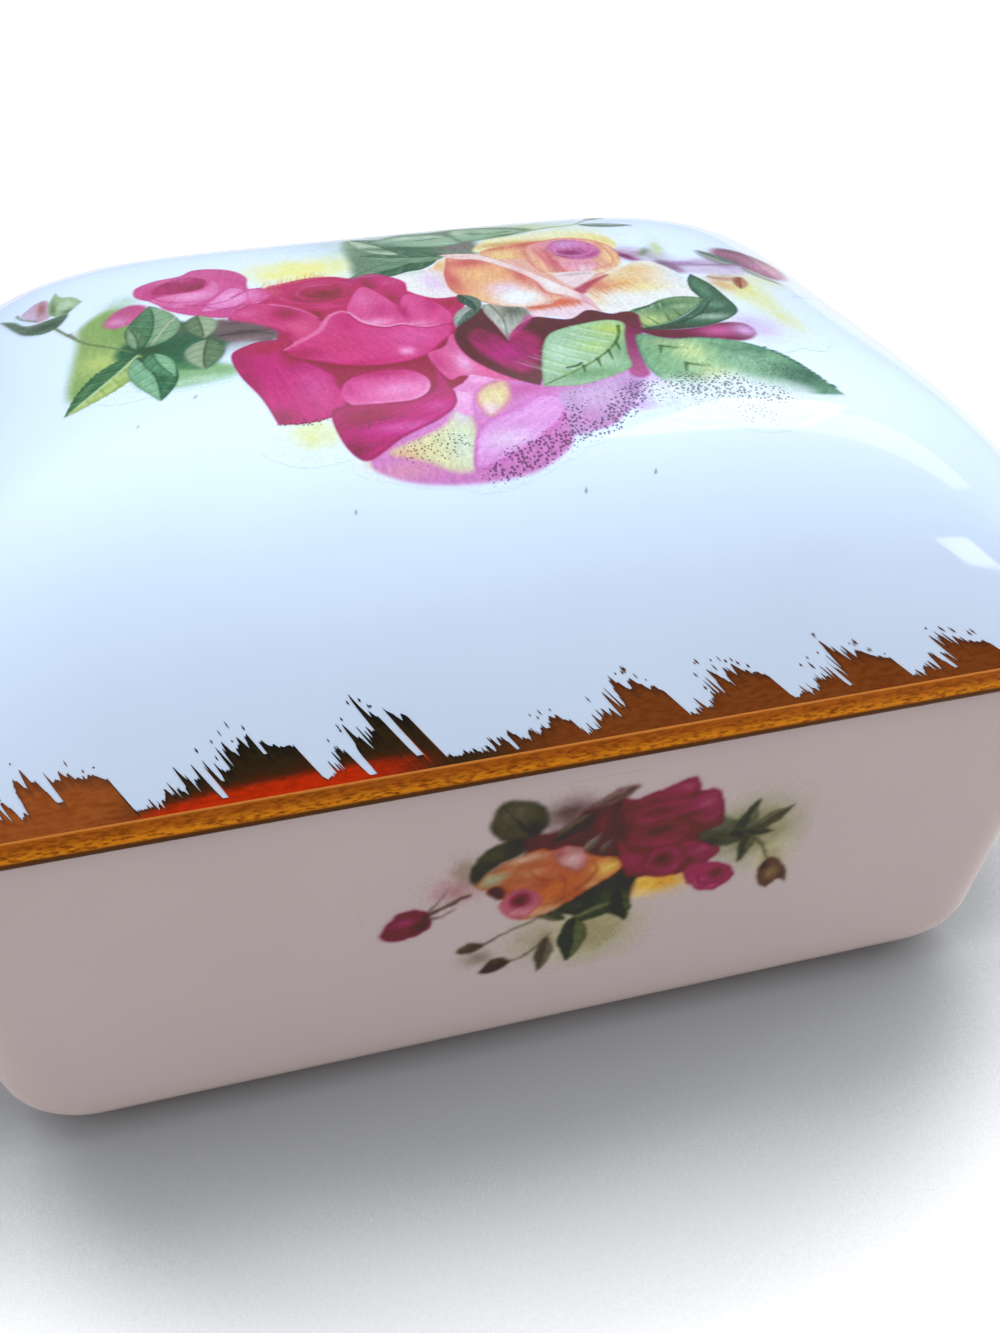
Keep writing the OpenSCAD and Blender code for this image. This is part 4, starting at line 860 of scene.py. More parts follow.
def paint_front_blooms(c):
    """The crimson rose on the right, the peach rose on the left and the bud at the far left."""
    c.petal([(-14.3, 22), (-13.8, 23.4), (-12.7, 24.6), (-11.5, 24.9), (-10.2, 24.4), (-9.7, 23), (-10, 22),
            (-11.3, 21.3), (-13.3, 21.3)], (122, 28, 66), [(-12.2, 23.4, 1, 0.6, (178, 76, 124), 0.85),
            (-10.6, 22.4, 0.7, 0.8, (76, 18, 44), 0.8)], streak=(20, 0.25), soft=0.18)
    c.stroke([(-10.2, 23.6), (-8.4, 24.6), (-6.4, 25.4)], (0.55, 0.35), (84, 66, 52), 0.85)
    c.stroke([(-9.8, 24.4), (-9, 25.6), (-8.2, 26.8)], (0.3, 0.06), (92, 78, 62), 0.8)
    c.stroke([(-10, 23.2), (-8.8, 23.3), (-7.6, 24)], (0.3, 0.08), (92, 78, 62), 0.8)
    c.petal([(4.8, 33), (6.3, 33.2), (7.4, 31.4), (7.8, 29.3), (7, 27.4), (5.3, 27.8), (3.8, 29.6)],
            (94, 32, 48), [(5.4, 31.4, 0.6, 1.4, (134, 66, 80), 0.7)], streak=(80, 0.3), soft=0.16)
    c.leaf((3.7, 28), (5.7, 30.3), 0.55, (116, 104, 92), (168, 158, 144), 0.05, 1, 2)
    c.leaf((5.2, 27.6), (6.8, 29.4), 0.4, (116, 104, 92), (160, 148, 136), 0.05, 1, 2)
    c.petal([(6.9, 33.7), (8.7, 33.7), (10.7, 34.3), (12.7, 35.1), (13.7, 34.8), (14, 33.3), (15.3, 33.2),
            (16.2, 32.3), (16.6, 30.3), (16.6, 28.6), (14.8, 28), (14.6, 26.8), (16.8, 25), (15.2, 23.6),
            (12.6, 22.8), (10, 23.3), (8, 24), (7.2, 27), (7.6, 30)], (122, 26, 62), streak=(60, 0.3),
            soft=0.2)
    c.petal([(8.2, 33.6), (10.7, 34.3), (12.7, 35.1), (13.6, 34.8), (13.9, 33.3), (11.4, 32.8),
            (9.3, 32.3)], (148, 46, 80), [(12.8, 34.2, 1.1, 0.5, (184, 92, 124), 0.8),
            (10, 33, 1, 0.4, (104, 20, 50), 0.7)], line=((110, 26, 56), 0.14), streak=(10, 0.2))
    c.petal([(8.2, 32.3), (11, 32.9), (13.8, 32.8), (15.3, 33.2), (16.1, 32.3), (16.4, 30), (15.3, 28.9),
            (13, 29.9), (11, 30.3), (8.8, 30)], (152, 50, 86), [(15, 31.6, 1, 1, (186, 92, 126), 0.8),
            (10.4, 31.6, 1.6, 0.5, (108, 20, 52), 0.8), (13.4, 30.4, 1.6, 0.4, (100, 16, 46), 0.8)],
            line=((110, 26, 56), 0.14), streak=(15, 0.25))
    c.petal([(7.7, 28.4), (8.8, 30), (11, 30.4), (13, 29.8), (13.8, 28.4), (12.6, 27.1), (10.5, 26.8),
            (8.5, 27.5)], (138, 36, 72), [(10.8, 29.2, 1.6, 0.5, (90, 14, 40), 0.9),
            (10.6, 27.6, 1.6, 0.4, (174, 76, 108), 0.7)], line=((100, 18, 46), 0.18), streak=(0, 0.25))
    c.petal([(7.1, 29), (7.9, 27.5), (9.5, 26.4), (10, 24.2), (8.6, 24), (7.3, 25.8)], (146, 44, 78),
            [(8.4, 26, 0.6, 0.9, (180, 84, 112), 0.7)], line=((98, 18, 46), 0.16), streak=(120, 0.25))
    c.petal([(13, 27), (15, 26.6), (16.9, 25), (15.2, 23.4), (13.4, 24)], (150, 48, 84),
            [(15, 25.6, 0.9, 0.5, (184, 90, 126), 0.8), (13.8, 24.4, 0.7, 0.5, (100, 20, 50), 0.7)],
            line=((102, 18, 48), 0.16), streak=(-20, 0.25))
    c.petal([(9.4, 25), (10.2, 26.6), (11.8, 27.1), (13.4, 26.3), (13.8, 24.7), (12.8, 23.2), (11.2, 22.8),
            (9.9, 23.6)], (150, 44, 84), [(11.4, 25.3, 0.9, 0.7, (88, 12, 40), 0.95),
            (12.8, 23.8, 0.7, 0.5, (186, 90, 126), 0.7)], line=((104, 20, 50), 0.16), streak=(30, 0.25))
    c.stroke(arc(11.5, 25.1, 1.4, 20, 250), (0.25, 0.1), (188, 92, 130), 0.7)
    c.petal([(13.7, 23.3), (14.2, 21.3), (15.3, 20), (16.7, 19.5), (18.1, 20.1), (18.7, 21.3), (18.1, 22.6),
             (16.7, 23.4), (15.3, 23.8)], (178, 58, 106), [(16.9, 21.8, 0.8, 0.7, (104, 16, 50), 0.95),
             (15.4, 21, 0.8, 0.8, (206, 100, 142), 0.7), (16.6, 20, 1, 0.3, (206, 100, 140), 0.7)],
            line=((112, 20, 56), 0.18), streak=(40, 0.25))
    c.stroke(arc(16.6, 21.7, 1.4, 160, 220), (0.24, 0.1), (118, 22, 60), 0.8)
    c.petal([(-5.8, 26.5), (-4, 28.3), (-1.7, 29.3), (0, 29.8), (1, 29.3), (2, 29.5), (3.4, 29), (4.8, 27.7),
             (6.8, 26.8), (7.6, 25.6), (6.7, 24.2), (5.3, 23.5), (4, 22.5), (2, 21.4), (0, 20.6), (-2, 20.9),
             (-3.1, 22.3), (-3.4, 24), (-4.8, 25.6)], (204, 112, 68),
            [(-4.2, 26.8, 1.8, 1, (196, 196, 150), 1.2), (-1.6, 28.8, 2.2, 0.6, (222, 200, 166), 0.95),
             (6.2, 25.6, 1.5, 1.4, (250, 204, 104), 1.2), (1.4, 24.4, 2.2, 1.2, (222, 128, 56), 0.9),
             (1, 21.2, 2.6, 0.6, (226, 196, 160), 1.1), (4.8, 23.6, 1.2, 0.6, (240, 196, 130), 1.0),
             (-2.4, 25.8, 1.2, 0.9, (180, 84, 50), 0.8), (3.6, 23.4, 1, 0.8, (186, 92, 50), 0.7),
             (0.4, 22, 1.4, 0.7, (226, 166, 96), 0.8)], line=((150, 78, 44), 0.18), streak=(20, 0.25))
    c.petal([(-3.2, 26.4), (-1.4, 27.6), (0.6, 27.4), (1.6, 25.6), (0.4, 24.4), (-1.6, 24.4), (-2.8, 25.2)],
            (206, 120, 76), [(-0.8, 26.8, 1.2, 0.4, (230, 176, 126), 0.8),
            (0.4, 25, 0.8, 0.5, (180, 84, 60), 0.8)], soft=0.3, streak=(15, 0.25))
    c.petal([(1.1, 29), (2.3, 29.5), (3.6, 28.9), (4.4, 27.5), (3.8, 26), (2.5, 26.4), (1.5, 27.4)],
            (206, 140, 140), [(2.9, 27.6, 0.8, 0.8, (244, 214, 208), 1.1),
            (1.7, 28.6, 0.5, 0.5, (164, 84, 84), 0.7)], line=((150, 70, 66), 0.16), streak=(80, 0.25))
    for points, widths in (([(-1, 27), (0, 25.8), (1.3, 25.3)], (0.2, 0.3)), ([(4.8, 27), (5.3, 25.8),
            (4.5, 24.5), (3.5, 23.3)], (0.2, 0.35)), ([(0.3, 22.3), (1.5, 22), (2.4, 22.8)], (0.2, 0.2)),
            ([(1.7, 25.8), (2.4, 24.6), (2.2, 23.2)], (0.3, 0.15))):
        c.stroke(points, widths, (146, 70, 38), 0.55)
    c.petal([(-3.5, 23.6), (-2.6, 24.8), (-1.2, 24.9), (0, 23.9), (0.2, 22.4), (-0.8, 21.2), (-2.2, 21),
            (-3.3, 22)], (214, 122, 142), [(-1.7, 23.5, 0.9, 0.9, (112, 16, 46), 1.2),
            (-1.8, 21.8, 1.2, 0.5, (226, 160, 166), 0.9)], line=((186, 92, 110), 0.25), soft=0.2,
            streak=(30, 0.25))
    c.petal([(-4.8, 25.4), (-4, 25.9), (-3.2, 25.2), (-3.4, 24.2), (-4.2, 24.4)], (86, 46, 36), soft=0.2)
    for dots in ((1.6, 33.8, 1.4, 0.8, 0.5), (6.4, 15.6, 2, 1.2, 0.4), (16.8, 24.4, 1, 0.6, 0.4),
                                  (-8, 28.4, 1.4, 0.7, 0.3), (11.6, 21.8, 2, 0.5, 0.4)):
        c.speckle(*dots)


def paint_front_spray(c):
    """The whole front spray, from the back to the front."""
    paint_front_clouds(c)
    paint_front_leaves(c)
    paint_front_blooms(c)
    c.rgb *= 1 - c.paint[..., None] * FRONT_DUSK


# ---------------------------------------------------------------- porcelain
# Faces round each corner, along the long sides and along the short sides
CORNER_STEPS, LONG_STEPS, SHORT_STEPS = 14, 56, 42
# Rings of faces up the dome, up the hollow under it, up a wall, round a big edge and round a small one
DOME_RINGS, HOLLOW_RINGS, WALL_RINGS, EDGE_RINGS, LIP_RINGS = 64, 24, 11, 12, 5
# Edges that turn by more than this stay crisp
SHARP_ANGLE = math.radians(32)


def outline(hw, hd, r):
    """Points of a rounded rectangle, anticlockwise from the right end of the front side."""
    x, y = hw - r, hd - r
    turn = np.linspace(0, math.pi / 2, CORNER_STEPS + 1)
    long = np.linspace(-1, 1, LONG_STEPS + 1)[1:-1]
    short = np.linspace(-1, 1, SHORT_STEPS + 1)[1:-1]
    corner = lambda cx, cy, start: np.c_[cx + r * np.cos(start + turn), cy + r * np.sin(start + turn)]
    return np.concatenate([
        corner(x, -y, -math.pi / 2), np.c_[np.full(len(short), hw), short * y],
        corner(x, y, 0), np.c_[-long * x, np.full(len(long), hd)],
        corner(-x, y, math.pi / 2), np.c_[np.full(len(short), -hw), -short * y],
        corner(-x, -y, math.pi), np.c_[long * x, np.full(len(long), -hd)]])


def ring(inset, z, r):
    """A level ring this far in from the rim's outline."""
    flat = outline(HALF_W - inset, HALF_D - inset, r)
    return np.c_[flat, np.full(len(flat), z)]


def pillow(x, y, a, b, h):
    """Height of a pillow dome over a rectangle with half sides a and b."""
    u = np.minimum(np.abs(x) / a, 1)
    v = np.minimum(np.abs(y) / b, 1)
    return h * (1 - u**DOME_POWER) * (1 - v**DOME_POWER)


def dome_points(rim, s, a, b, h, base):
    """The rim's points drawn in to the fraction s and lifted on to the dome."""
    x, y = rim[:, 0] * s, rim[:, 1] * s
    z = base + pillow(x, y, a, b, h) - s**CORNER_FADE * pillow(rim[:, 0], rim[:, 1], a, b, h)
    return np.c_[x, y, z]


def dome_rings(inset, r, h, base, count):
    """Rings of a dome, from its rim to near its middle."""
    a, b = HALF_W - inset, HALF_D - inset
    steps = np.cos(np.arange(count) / count * math.pi / 2)
    return [dome_points(outline(a, b, r), s, a, b, h, base) for s in steps]


def body_inset(z):
    """Inset of the body's outer wall: the overhang, the lean and the rounded bottom edge."""
    low = max(BOTTOM_R - z, 0)
    return OVERHANG + TAPER * (1 - z / BODY_H) + BOTTOM_R - math.sqrt(BOTTOM_R**2 - low**2)


def new_piece(name, points, faces, material, body, replaces=()):
    """A mesh object from points in millimetres, riding on a CAD body."""
    mesh = bpy.data.meshes.new(name)
    mesh.from_pydata((np.asarray(points) * MM).tolist(), [], faces)
    mesh.materials.append(material)
    mesh.shade_smooth()
    mesh.update()
    piece = bpy.data.objects.new(name, mesh)
    bpy.context.scene.collection.objects.link(piece)
    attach(piece, body)
    if replaces:
        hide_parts(*replaces)
    return piece


def skin(rings, capped=True):
    """Points and faces of a skin over rings that start underneath and go outwards."""
    n, m = len(rings[0]), len(rings)
    faces = []
    for j in range(m - 1):
        for i in range(n):
            k = (i + 1) % n
            faces.append((j * n + i, j * n + k, (j + 1) * n + k, (j + 1) * n + i))
    points = list(rings)
    if capped:
        points += [rings[0].mean(0)[None], rings[-1].mean(0)[None]]
        faces += [(m * n, (i + 1) % n, i) for i in range(n)]
        faces += [(m * n + 1, (m - 1) * n + i, (m - 1) * n + (i + 1) % n) for i in range(n)]
    return np.concatenate(points), faces


def quarter(count=EDGE_RINGS):
    """Angles over a quarter turn, for a rounded edge."""
    return np.linspace(0, math.pi / 2, count + 1)


def make_body(material):
    """The body in one skin: foot, bottom edge, wall, rounded lip, inner wall and floor."""
    foot_edge = body_inset(0) + FOOT_W
    rings = [ring(foot_edge + FOOT_RECESS, FOOT_RECESS, OUTER_R), ring(foot_edge, 0, OUTER_R)]
    for z in BOTTOM_R * (1 - np.cos(quarter())):
        rings.append(ring(body_inset(z), z, OUTER_R))
    for z in np.linspace(BOTTOM_R, BODY_H - LIP_R, WALL_RINGS + 1)[1:-1]:
        rings.append(ring(body_inset(z), z, OUTER_R))
    for a in quarter(LIP_RINGS):
        rings.append(ring(body_inset(BODY_H - LIP_R) + LIP_R * (1 - math.cos(a)),
                          BODY_H - LIP_R * (1 - math.sin(a)), OUTER_R))
    for a in quarter(LIP_RINGS):
        rings.append(ring(INNER_TOP - LIP_R * (1 - math.sin(a)), BODY_H - LIP_R * (1 - math.cos(a)), INNER_R))
    for a in quarter():
        z = INNER_Z + FLOOR_R * (1 - math.sin(a))
        rings.append(ring(INNER_TOP + INNER_LEAN * (BODY_H - z) + FLOOR_R * (1 - math.cos(a)), z, INNER_R))
    points, faces = skin(rings)
    piece = new_piece("body_glazed", points, faces, material, "box_body", ["body_shell"])
    piece.data.set_sharp_from_angle(angle=SHARP_ANGLE)


def make_lid(material):
    """The lid in one skin: hollow, flange, rounded lower edge and dome. The flange leans as the body's
    inner wall does."""
    flange_out = INNER_TOP + FLANGE_GAP
    lean = INNER_LEAN * FLANGE_H
    flange_in = flange_out + lean + FLANGE_T
    flange_z = BODY_H - FLANGE_H
    inner_base = RIM_TOP + DOME_H * INNER_RISE
    inner_h = RIM_TOP + DOME_H - DOME_T - inner_base
    rings = dome_rings(flange_in, FLANGE_R, inner_h, inner_base, HOLLOW_RINGS)[::-1]
    half = FLANGE_ROUND / 2
    for inset, z in ((flange_in, flange_z + FLANGE_ROUND), (flange_in - half, flange_z),
                     (flange_out + lean + half, flange_z), (flange_out + lean, flange_z + FLANGE_ROUND),
                     (flange_out, BODY_H)):
        rings.append(ring(inset, z, FLANGE_R))
    for a in quarter(LIP_RINGS):
        rings.append(ring(RIM_ROUND * (1 - math.sin(a)), BODY_H + RIM_ROUND * (1 - math.cos(a)), CORNER_R))
    rings += dome_rings(0, CORNER_R, DOME_H, RIM_TOP, DOME_RINGS)
    points, faces = skin(rings)
    piece = new_piece("lid_glazed", points, faces, material, "lid", ["lid_shell"])
    piece.data.set_sharp_from_angle(angle=SHARP_ANGLE)


# ---------------------------------------------------------------- gilding
# The gold goes once round the rim, and a brush has dragged it up the dome in feathered humps whose
# strokes all lean to the left. A place on it is a distance round the rim, 0 at the front's middle,
# and a distance up the slope.

# How far the strokes lean for each millimetre that they go up
LEAN = 0.8
# Width of one column of faces, and the number of rows up it
COLUMN = 0.055
ROWS = 9
# Flecks lie only beyond strokes that reach at least this far
LOWEST_FLECKED = 1.6
# How far up the gold reaches between the humps
DIP = 0.8
# Rings of faces round the band's lower edge
BAND_RINGS = 6
# The thinnest line of gold that is left where the brush skipped
THINNEST = 0.06
# Left end, right end and height of each hump on the front
FRONT_HUMPS = [(-45.5, -31.8, 6.3), (-30.4, -17.6, 5.9), (-16.6, -7.9, 6.9), (-5.4, -0.6, 2.2),
        (-2, 3.6, 2.9), (3.4, 12.4, 5.0), (12.8, 21.4, 4.6), (22.8, 32.4, 4.5), (32.8, 42, 4.3)]
# Where the brush skipped on the front: distance, half width and how far up the skip starts
FRONT_SKIPS = [(-40.6, 0.3, 2.6), (-36, 0.34, 2.6), (-25.2, 0.34, 0.5), (-20, 0.2, 3.4), (-14, 0.42, 0.3),
               (-9.6, 0.4, 1.2), (-2.4, 0.22, 0.3), (4.6, 0.25, 0.8), (15.4, 0.25, 1.8), (26.8, 0.25, 0.8),
               (36.6, 0.25, 0.8)]
# The front's own humps end here, and its own skips here; beyond them both are drawn at random
HUMPS_END = 44.0
HUMPS_START = 48
SKIPS_END = 46


def rim_path():
    """The rim as a closed path that starts at the front's middle, and the distance to each point."""
    path = outline(HALF_W, HALF_D, CORNER_R)
    path = np.roll(path, LONG_STEPS // 2, 0)
    path = np.concatenate([path, path[:1]])
    step = np.hypot(*np.diff(path, axis=0).T)
    return path, np.concatenate([[0], np.cumsum(step)])


RIM_PATH, RIM_AT = rim_path()
RIM_LENGTH = RIM_AT[-1]


def slope_table():
    """Distances up the front slope, and how far in over the dome each one is."""
    inset = np.linspace(0, 6, 241)
    z = pillow(0, HALF_D - inset, HALF_W, HALF_D, DOME_H)
    return np.concatenate([[0], np.cumsum(np.hypot(np.diff(inset), np.diff(z)))]), inset


SLOPE_UP, SLOPE_IN = slope_table()


def gilt_points(round_rim, up):
    """Points of the gold layer, a little above the glaze."""
    t = np.mod(round_rim, RIM_LENGTH)
    rim = np.c_[np.interp(t, RIM_AT, RIM_PATH[:, 0]), np.interp(t, RIM_AT, RIM_PATH[:, 1])]
    s = 1 - np.interp(up, SLOPE_UP, SLOPE_IN) / HALF_D
    x, y = rim[:, 0] * s, rim[:, 1] * s
    z = RIM_TOP + pillow(x, y, HALF_W, HALF_D, DOME_H)
    z -= s**CORNER_FADE * pillow(rim[:, 0], rim[:, 1], HALF_W, HALF_D, DOME_H)
    out = 1 + LAYER / HALF_D
    return np.c_[x * out, y * out, z + LAYER / 2]


def all_humps():
    """The front's humps, and others like them on the other three sides."""
    humps = list(FRONT_HUMPS)
    pick = np.random.default_rng(11)
    left = HUMPS_END
    while left < RIM_LENGTH - HUMPS_START:
        width = 6.5 + 4 * pick.random()
        humps.append((left, left + width, 2.8 + 2.4 * pick.random()))
        left += width + 0.8 + 2.5 * pick.random()
    return humps


def spikes(u, width, pick):
    """Pointed tips of random height, about a width apart."""
    edges = np.cumsum(width * (0.4 + 1.2 * pick.random(int(RIM_LENGTH / width * 1.6))))
    k = np.searchsorted(edges, np.mod(u, RIM_LENGTH))
    low = np.concatenate([[0], edges])[k]
    place = (np.mod(u, RIM_LENGTH) - low) / (edges[k] - low)
    return pick.random(len(edges))[k] * (1 - np.abs(2 * place - 1) ** 1.3)


def gilt_height(u):
    """How far up the slope the gold reaches along each brush stroke."""
    pick = np.random.default_rng(5)
    height = np.full(len(u), DIP)
    rough = np.full(len(u), 0.5)
    for left, right, top in all_humps():
        place = (np.mod(u - left, RIM_LENGTH)) / (right - left)
        inside = place < 1
        climb = 0.1 + 0.9 * np.clip(place / 0.6, 0, 1) ** 1.1
        rise = DIP + (top - DIP) * climb * (1 - 0.42 * ramp(0.66, 1, place))
        height = np.where(inside, np.maximum(height, rise), height)
        rough = np.where(inside, 1 - 0.7 * ramp(0.45, 0.9, place), rough)
    jagged = np.maximum(spikes(u, 1.1, pick), 0.85 * spikes(u, 0.5, pick))
    hairs = spikes(u, 0.26, pick)
    height = height * (1.1 - rough * 0.76 * (1 - jagged)) + rough * (0.85 * hairs - 0.15)
    skips = list(FRONT_SKIPS)
    start = SKIPS_END + np.cumsum(3 + 8 * pick.random(60))
    for at in start[start < RIM_LENGTH - SKIPS_END]:
        skips.append((at, 0.1 + 0.3 * pick.random(), 0.3 + 1.6 * pick.random()))
    for at, wide, deep in skips:
        away = np.abs(np.mod(u - at + RIM_LENGTH / 2, RIM_LENGTH) - RIM_LENGTH / 2)
        slit = 1 - ramp(0.7, 1, away / wide)
        height += slit * (np.minimum(height, deep) - height)
    return np.maximum(height, THINNEST)


def make_gilding(material, band_material):
    """The gold band on the upright rim, and the feathers above it in one piece for each side."""
    rings = [ring(RIM_ROUND * (1 - math.sin(a)) - LAYER, BODY_H + RIM_ROUND * (1 - math.cos(a)), CORNER_R)
             for a in quarter(BAND_RINGS)[1:]]
    rings += [ring(-LAYER, z, CORNER_R)
              for z in np.linspace(BODY_H + RIM_ROUND, RIM_TOP + LAYER / 2, BAND_RINGS - 1)[1:]]
    points, faces = skin(rings, capped=False)
    new_piece("gilded_band", points, faces, band_material, "lid", ["rim_gilding"])
    corners = [-(HALF_W - CORNER_R / 2), HALF_W - CORNER_R / 2, HALF_W + 2 * HALF_D - CORNER_R,
               3 * HALF_W + 2 * HALF_D - 2 * CORNER_R, RIM_LENGTH - HALF_W + CORNER_R / 2]
    for name, start, end in zip(("front", "right", "back", "left"), corners, corners[1:]):
        u = np.arange(start, end + COLUMN, COLUMN)
        top = gilt_height(u)
        points = [gilt_points(u - LEAN * top * k / ROWS, top * k / ROWS) for k in range(ROWS + 1)]
        n = len(u)
        faces = [(j * n + i, j * n + i + 1, (j + 1) * n + i + 1, (j + 1) * n + i)
                 for j in range(ROWS) for i in range(n - 1)]
        points, faces = add_flecks(points, faces, u, top)
        piece = new_piece("gilded_feathers_" + name, points, faces, material, "lid")
        thin = np.ones(len(points), np.float32)
        thin[:n * (ROWS + 1)] = np.repeat(np.linspace(0, 1, ROWS + 1) ** 2, n)
        piece.data.attributes.new("thin", "FLOAT", "POINT").data.foreach_set("value", thin)


def add_flecks(points, faces, u, top):
    """Small flecks of gold where the brush lifted off, just beyond the tips."""
    pick = np.random.default_rng(int(abs(u[0])) + 3)
    count = sum(len(p) for p in points)
    points, faces = list(points), list(faces)
    for k in pick.integers(8, len(u) - 8, int((u[-1] - u[0]) * 1.1)):
        if top[k] < LOWEST_FLECKED:
            continue
        low = top[k - 6:k + 7].max() + 0.1 + 0.6 * pick.random()
        long, half = 0.2 + 0.6 * pick.random(), 0.05 + 0.06 * pick.random()
        up = low + long * np.array([0, 0.4, 1, 0.55])
        across = u[k] + half * np.array([0, -1, 0.2, 1])
        points.append(gilt_points(across - LEAN * up, up))
        faces.append((count, count + 3, count + 2, count + 1))
        count += 4
    return np.concatenate(points), faces


# ---------------------------------------------------------------- printed sheets
# Size of one cell of each painted grid, and the corners of the two grids
LID_PITCH = 0.12
FRONT_PITCH = 0.09
LID_AREA = (-41, -32), (41, 23.5)
FRONT_AREA = (-16, 12), (26, 37.2)
# The lid's spray is cut into three pieces at these places
LID_CUTS = [-100, -14.6, 13.2, 100]
# Only points with more paint than this are printed
LEAST_PAINT = 0.008
# Display colours of the bare glaze; above 255 it is brighter than the display's white. The front wall's
# colour is painted shade, so the body's glaze is darker and warmer than the lid's; the lid's blue is partly
# the porcelain's own tint and partly painted cool light.
LID_GROUND = (242, 259, 282)
FRONT_SHADED_GROUND = (155, 144, 143)
# Light that a white surface sends back where each spray lies, and the gloss on top of it
LID_LIGHT = (1.40, 1.32, 1.31)
LID_GLOSS = 0.05
FRONT_LIGHT = (0.577, 0.541, 0.53)
FRONT_GLOSS = 0.02
# How unsteady and how soft the front spray is, and how much more painted shade darkens the paint after that
FRONT_WOBBLE = 0.14
FRONT_BLUR = 4
FRONT_MORE_SHADE = 0.11
# Base colours stay between these
DARKEST, LIGHTEST = 0.003, 0.98


def to_albedo(display, light, gloss):
    """Base colours that show as the given display colours under the given light and gloss."""
    c = np.maximum(np.asarray(display, float) / 255, 0)
    linear = np.where(c <= 0.04045, c / 12.92, ((c + 0.055) / 1.055) ** 2.4)
    return np.clip((linear - gloss) / np.array(light), DARKEST, LIGHTEST)


def lay_sheet(canvas, name, columns, surface, light, gloss, material, body, replaces=()):
    """The painted part of a canvas between two columns, laid on the porcelain by surface(x, y)."""
    paint = canvas.paint > LEAST_PAINT
    cells = paint[:-1, :-1] | paint[1:, :-1] | paint[:-1, 1:] | paint[1:, 1:]
    cells[:, :columns[0]] = False
    cells[:, columns[1]:] = False
    j, i = np.nonzero(cells)
    corners = np.stack([j, j, j + 1, j + 1]), np.stack([i, i + 1, i + 1, i])
    used = np.zeros(paint.shape, bool)
    used[corners] = True
    index = np.cumsum(used.ravel()).reshape(used.shape) - 1
    points = surface(canvas.x[used], canvas.y[used])
    piece = new_piece(name, points, index[corners].T.tolist(), material, body, replaces)
    colour = np.ones((len(points), 4), np.float32)
    colour[:, :3] = to_albedo(canvas.rgb[used], light, gloss)
    piece.data.attributes.new("paint", "FLOAT_COLOR", "POINT").data.foreach_set("color", colour.ravel())
    dots = canvas.dots[used].astype(np.float32)
    piece.data.attributes.new("dots", "FLOAT", "POINT").data.foreach_set("value", dots)


def on_lid(x, y):
    """Points just above the dome."""
    return np.c_[x, y, RIM_TOP + pillow(x, y, HALF_W, HALF_D, DOME_H) + PRINT_LIFT]


def on_front(x, z):
    """Points just in front of the front wall."""
    wall = np.array([body_inset(height) for height in z]) - HALF_D
    return np.c_[x, wall - PRINT_LIFT, z]


def make_sprays(material_lid, material_front):
    """Paints both sprays and lays them on the lid and on the front wall."""
    canvas = Canvas(*LID_AREA, LID_PITCH, LID_GROUND)
    paint_lid_spray(canvas)
    cuts = np.searchsorted(canvas.xs, LID_CUTS)
    for name, first, last in zip(("left", "middle", "right"), cuts, cuts[1:]):
        lay_sheet(canvas, "lid_roses_" + name, (first, last), on_lid, LID_LIGHT, LID_GLOSS, material_lid,
                  "lid", ["lid_rose_transfer"])
    canvas = Canvas(*FRONT_AREA, FRONT_PITCH, FRONT_SHADED_GROUND)
    paint_front_spray(canvas)
    canvas.soften(FRONT_WOBBLE, FRONT_BLUR)
    # More painted shade of the front wall, darkening the printed colours where they lie
    canvas.rgb *= 1 - FRONT_MORE_SHADE * canvas.paint[..., None]
    lay_sheet(canvas, "front_roses", (0, len(canvas.xs)), on_front, FRONT_LIGHT, FRONT_GLOSS, material_front,
              "box_body", ["front_rose_transfer"])


# ---------------------------------------------------------------- materials
GLAZE_ROUGHNESS = 0.06
GLAZE_SPECULAR = 0.28
GLAZE_IOR = 1.5
# Printed dots: the distance between them, how far one reaches, and their ink
DOT_PITCH = 0.3
DOT_SIZE = 0.5
DOT_INK = (0.22, 0.18, 0.24)
# Streaks in the gold are this much shorter up the rim than along it
STREAK = (0.3, 0.3, 1.0)
# How far the rim's bands of colour waver up and down, in millimetres
EDGE_WAVE = 0.4
# Where the rim's bands change, in millimetres above its lower edge: the end of the painted shade along that
# edge, and the start and end of the brighter part; then where the painted highlight line along the top starts
# and ends, below its top
RIM_SHADE_TO, BRIGHT_FROM, BRIGHT_TO = 0.62, 0.9, 2.1
HIGHLIGHT_FROM, HIGHLIGHT_TO = 0.3, 0.1
# Colours of the gold and of its worn places, on the dome and on the rim, and the rim's bands going up. The
# rim's gold is darker and redder than the dome's, as painted shade of the rim that faces the dim front; its
# bands are painted shade, a brighter part and a painted highlight.
FEATHER_GOLD, FEATHER_WORN = (0.88, 0.54, 0.22), (0.70, 0.38, 0.13)
SHADED_BAND_GOLD, SHADED_BAND_WORN = (0.38, 0.11, 0.009), (0.235, 0.06, 0.005)
BAND_SHADE_AND_HIGHLIGHT = [(0.085, 0.034, 0.01), (0.62, 0.23, 0.012), (0.62, 0.24, 0.05)]
# Where the brush ran dry the gold is thin and looks grey
THIN_GOLD = (0.26, 0.22, 0.22)


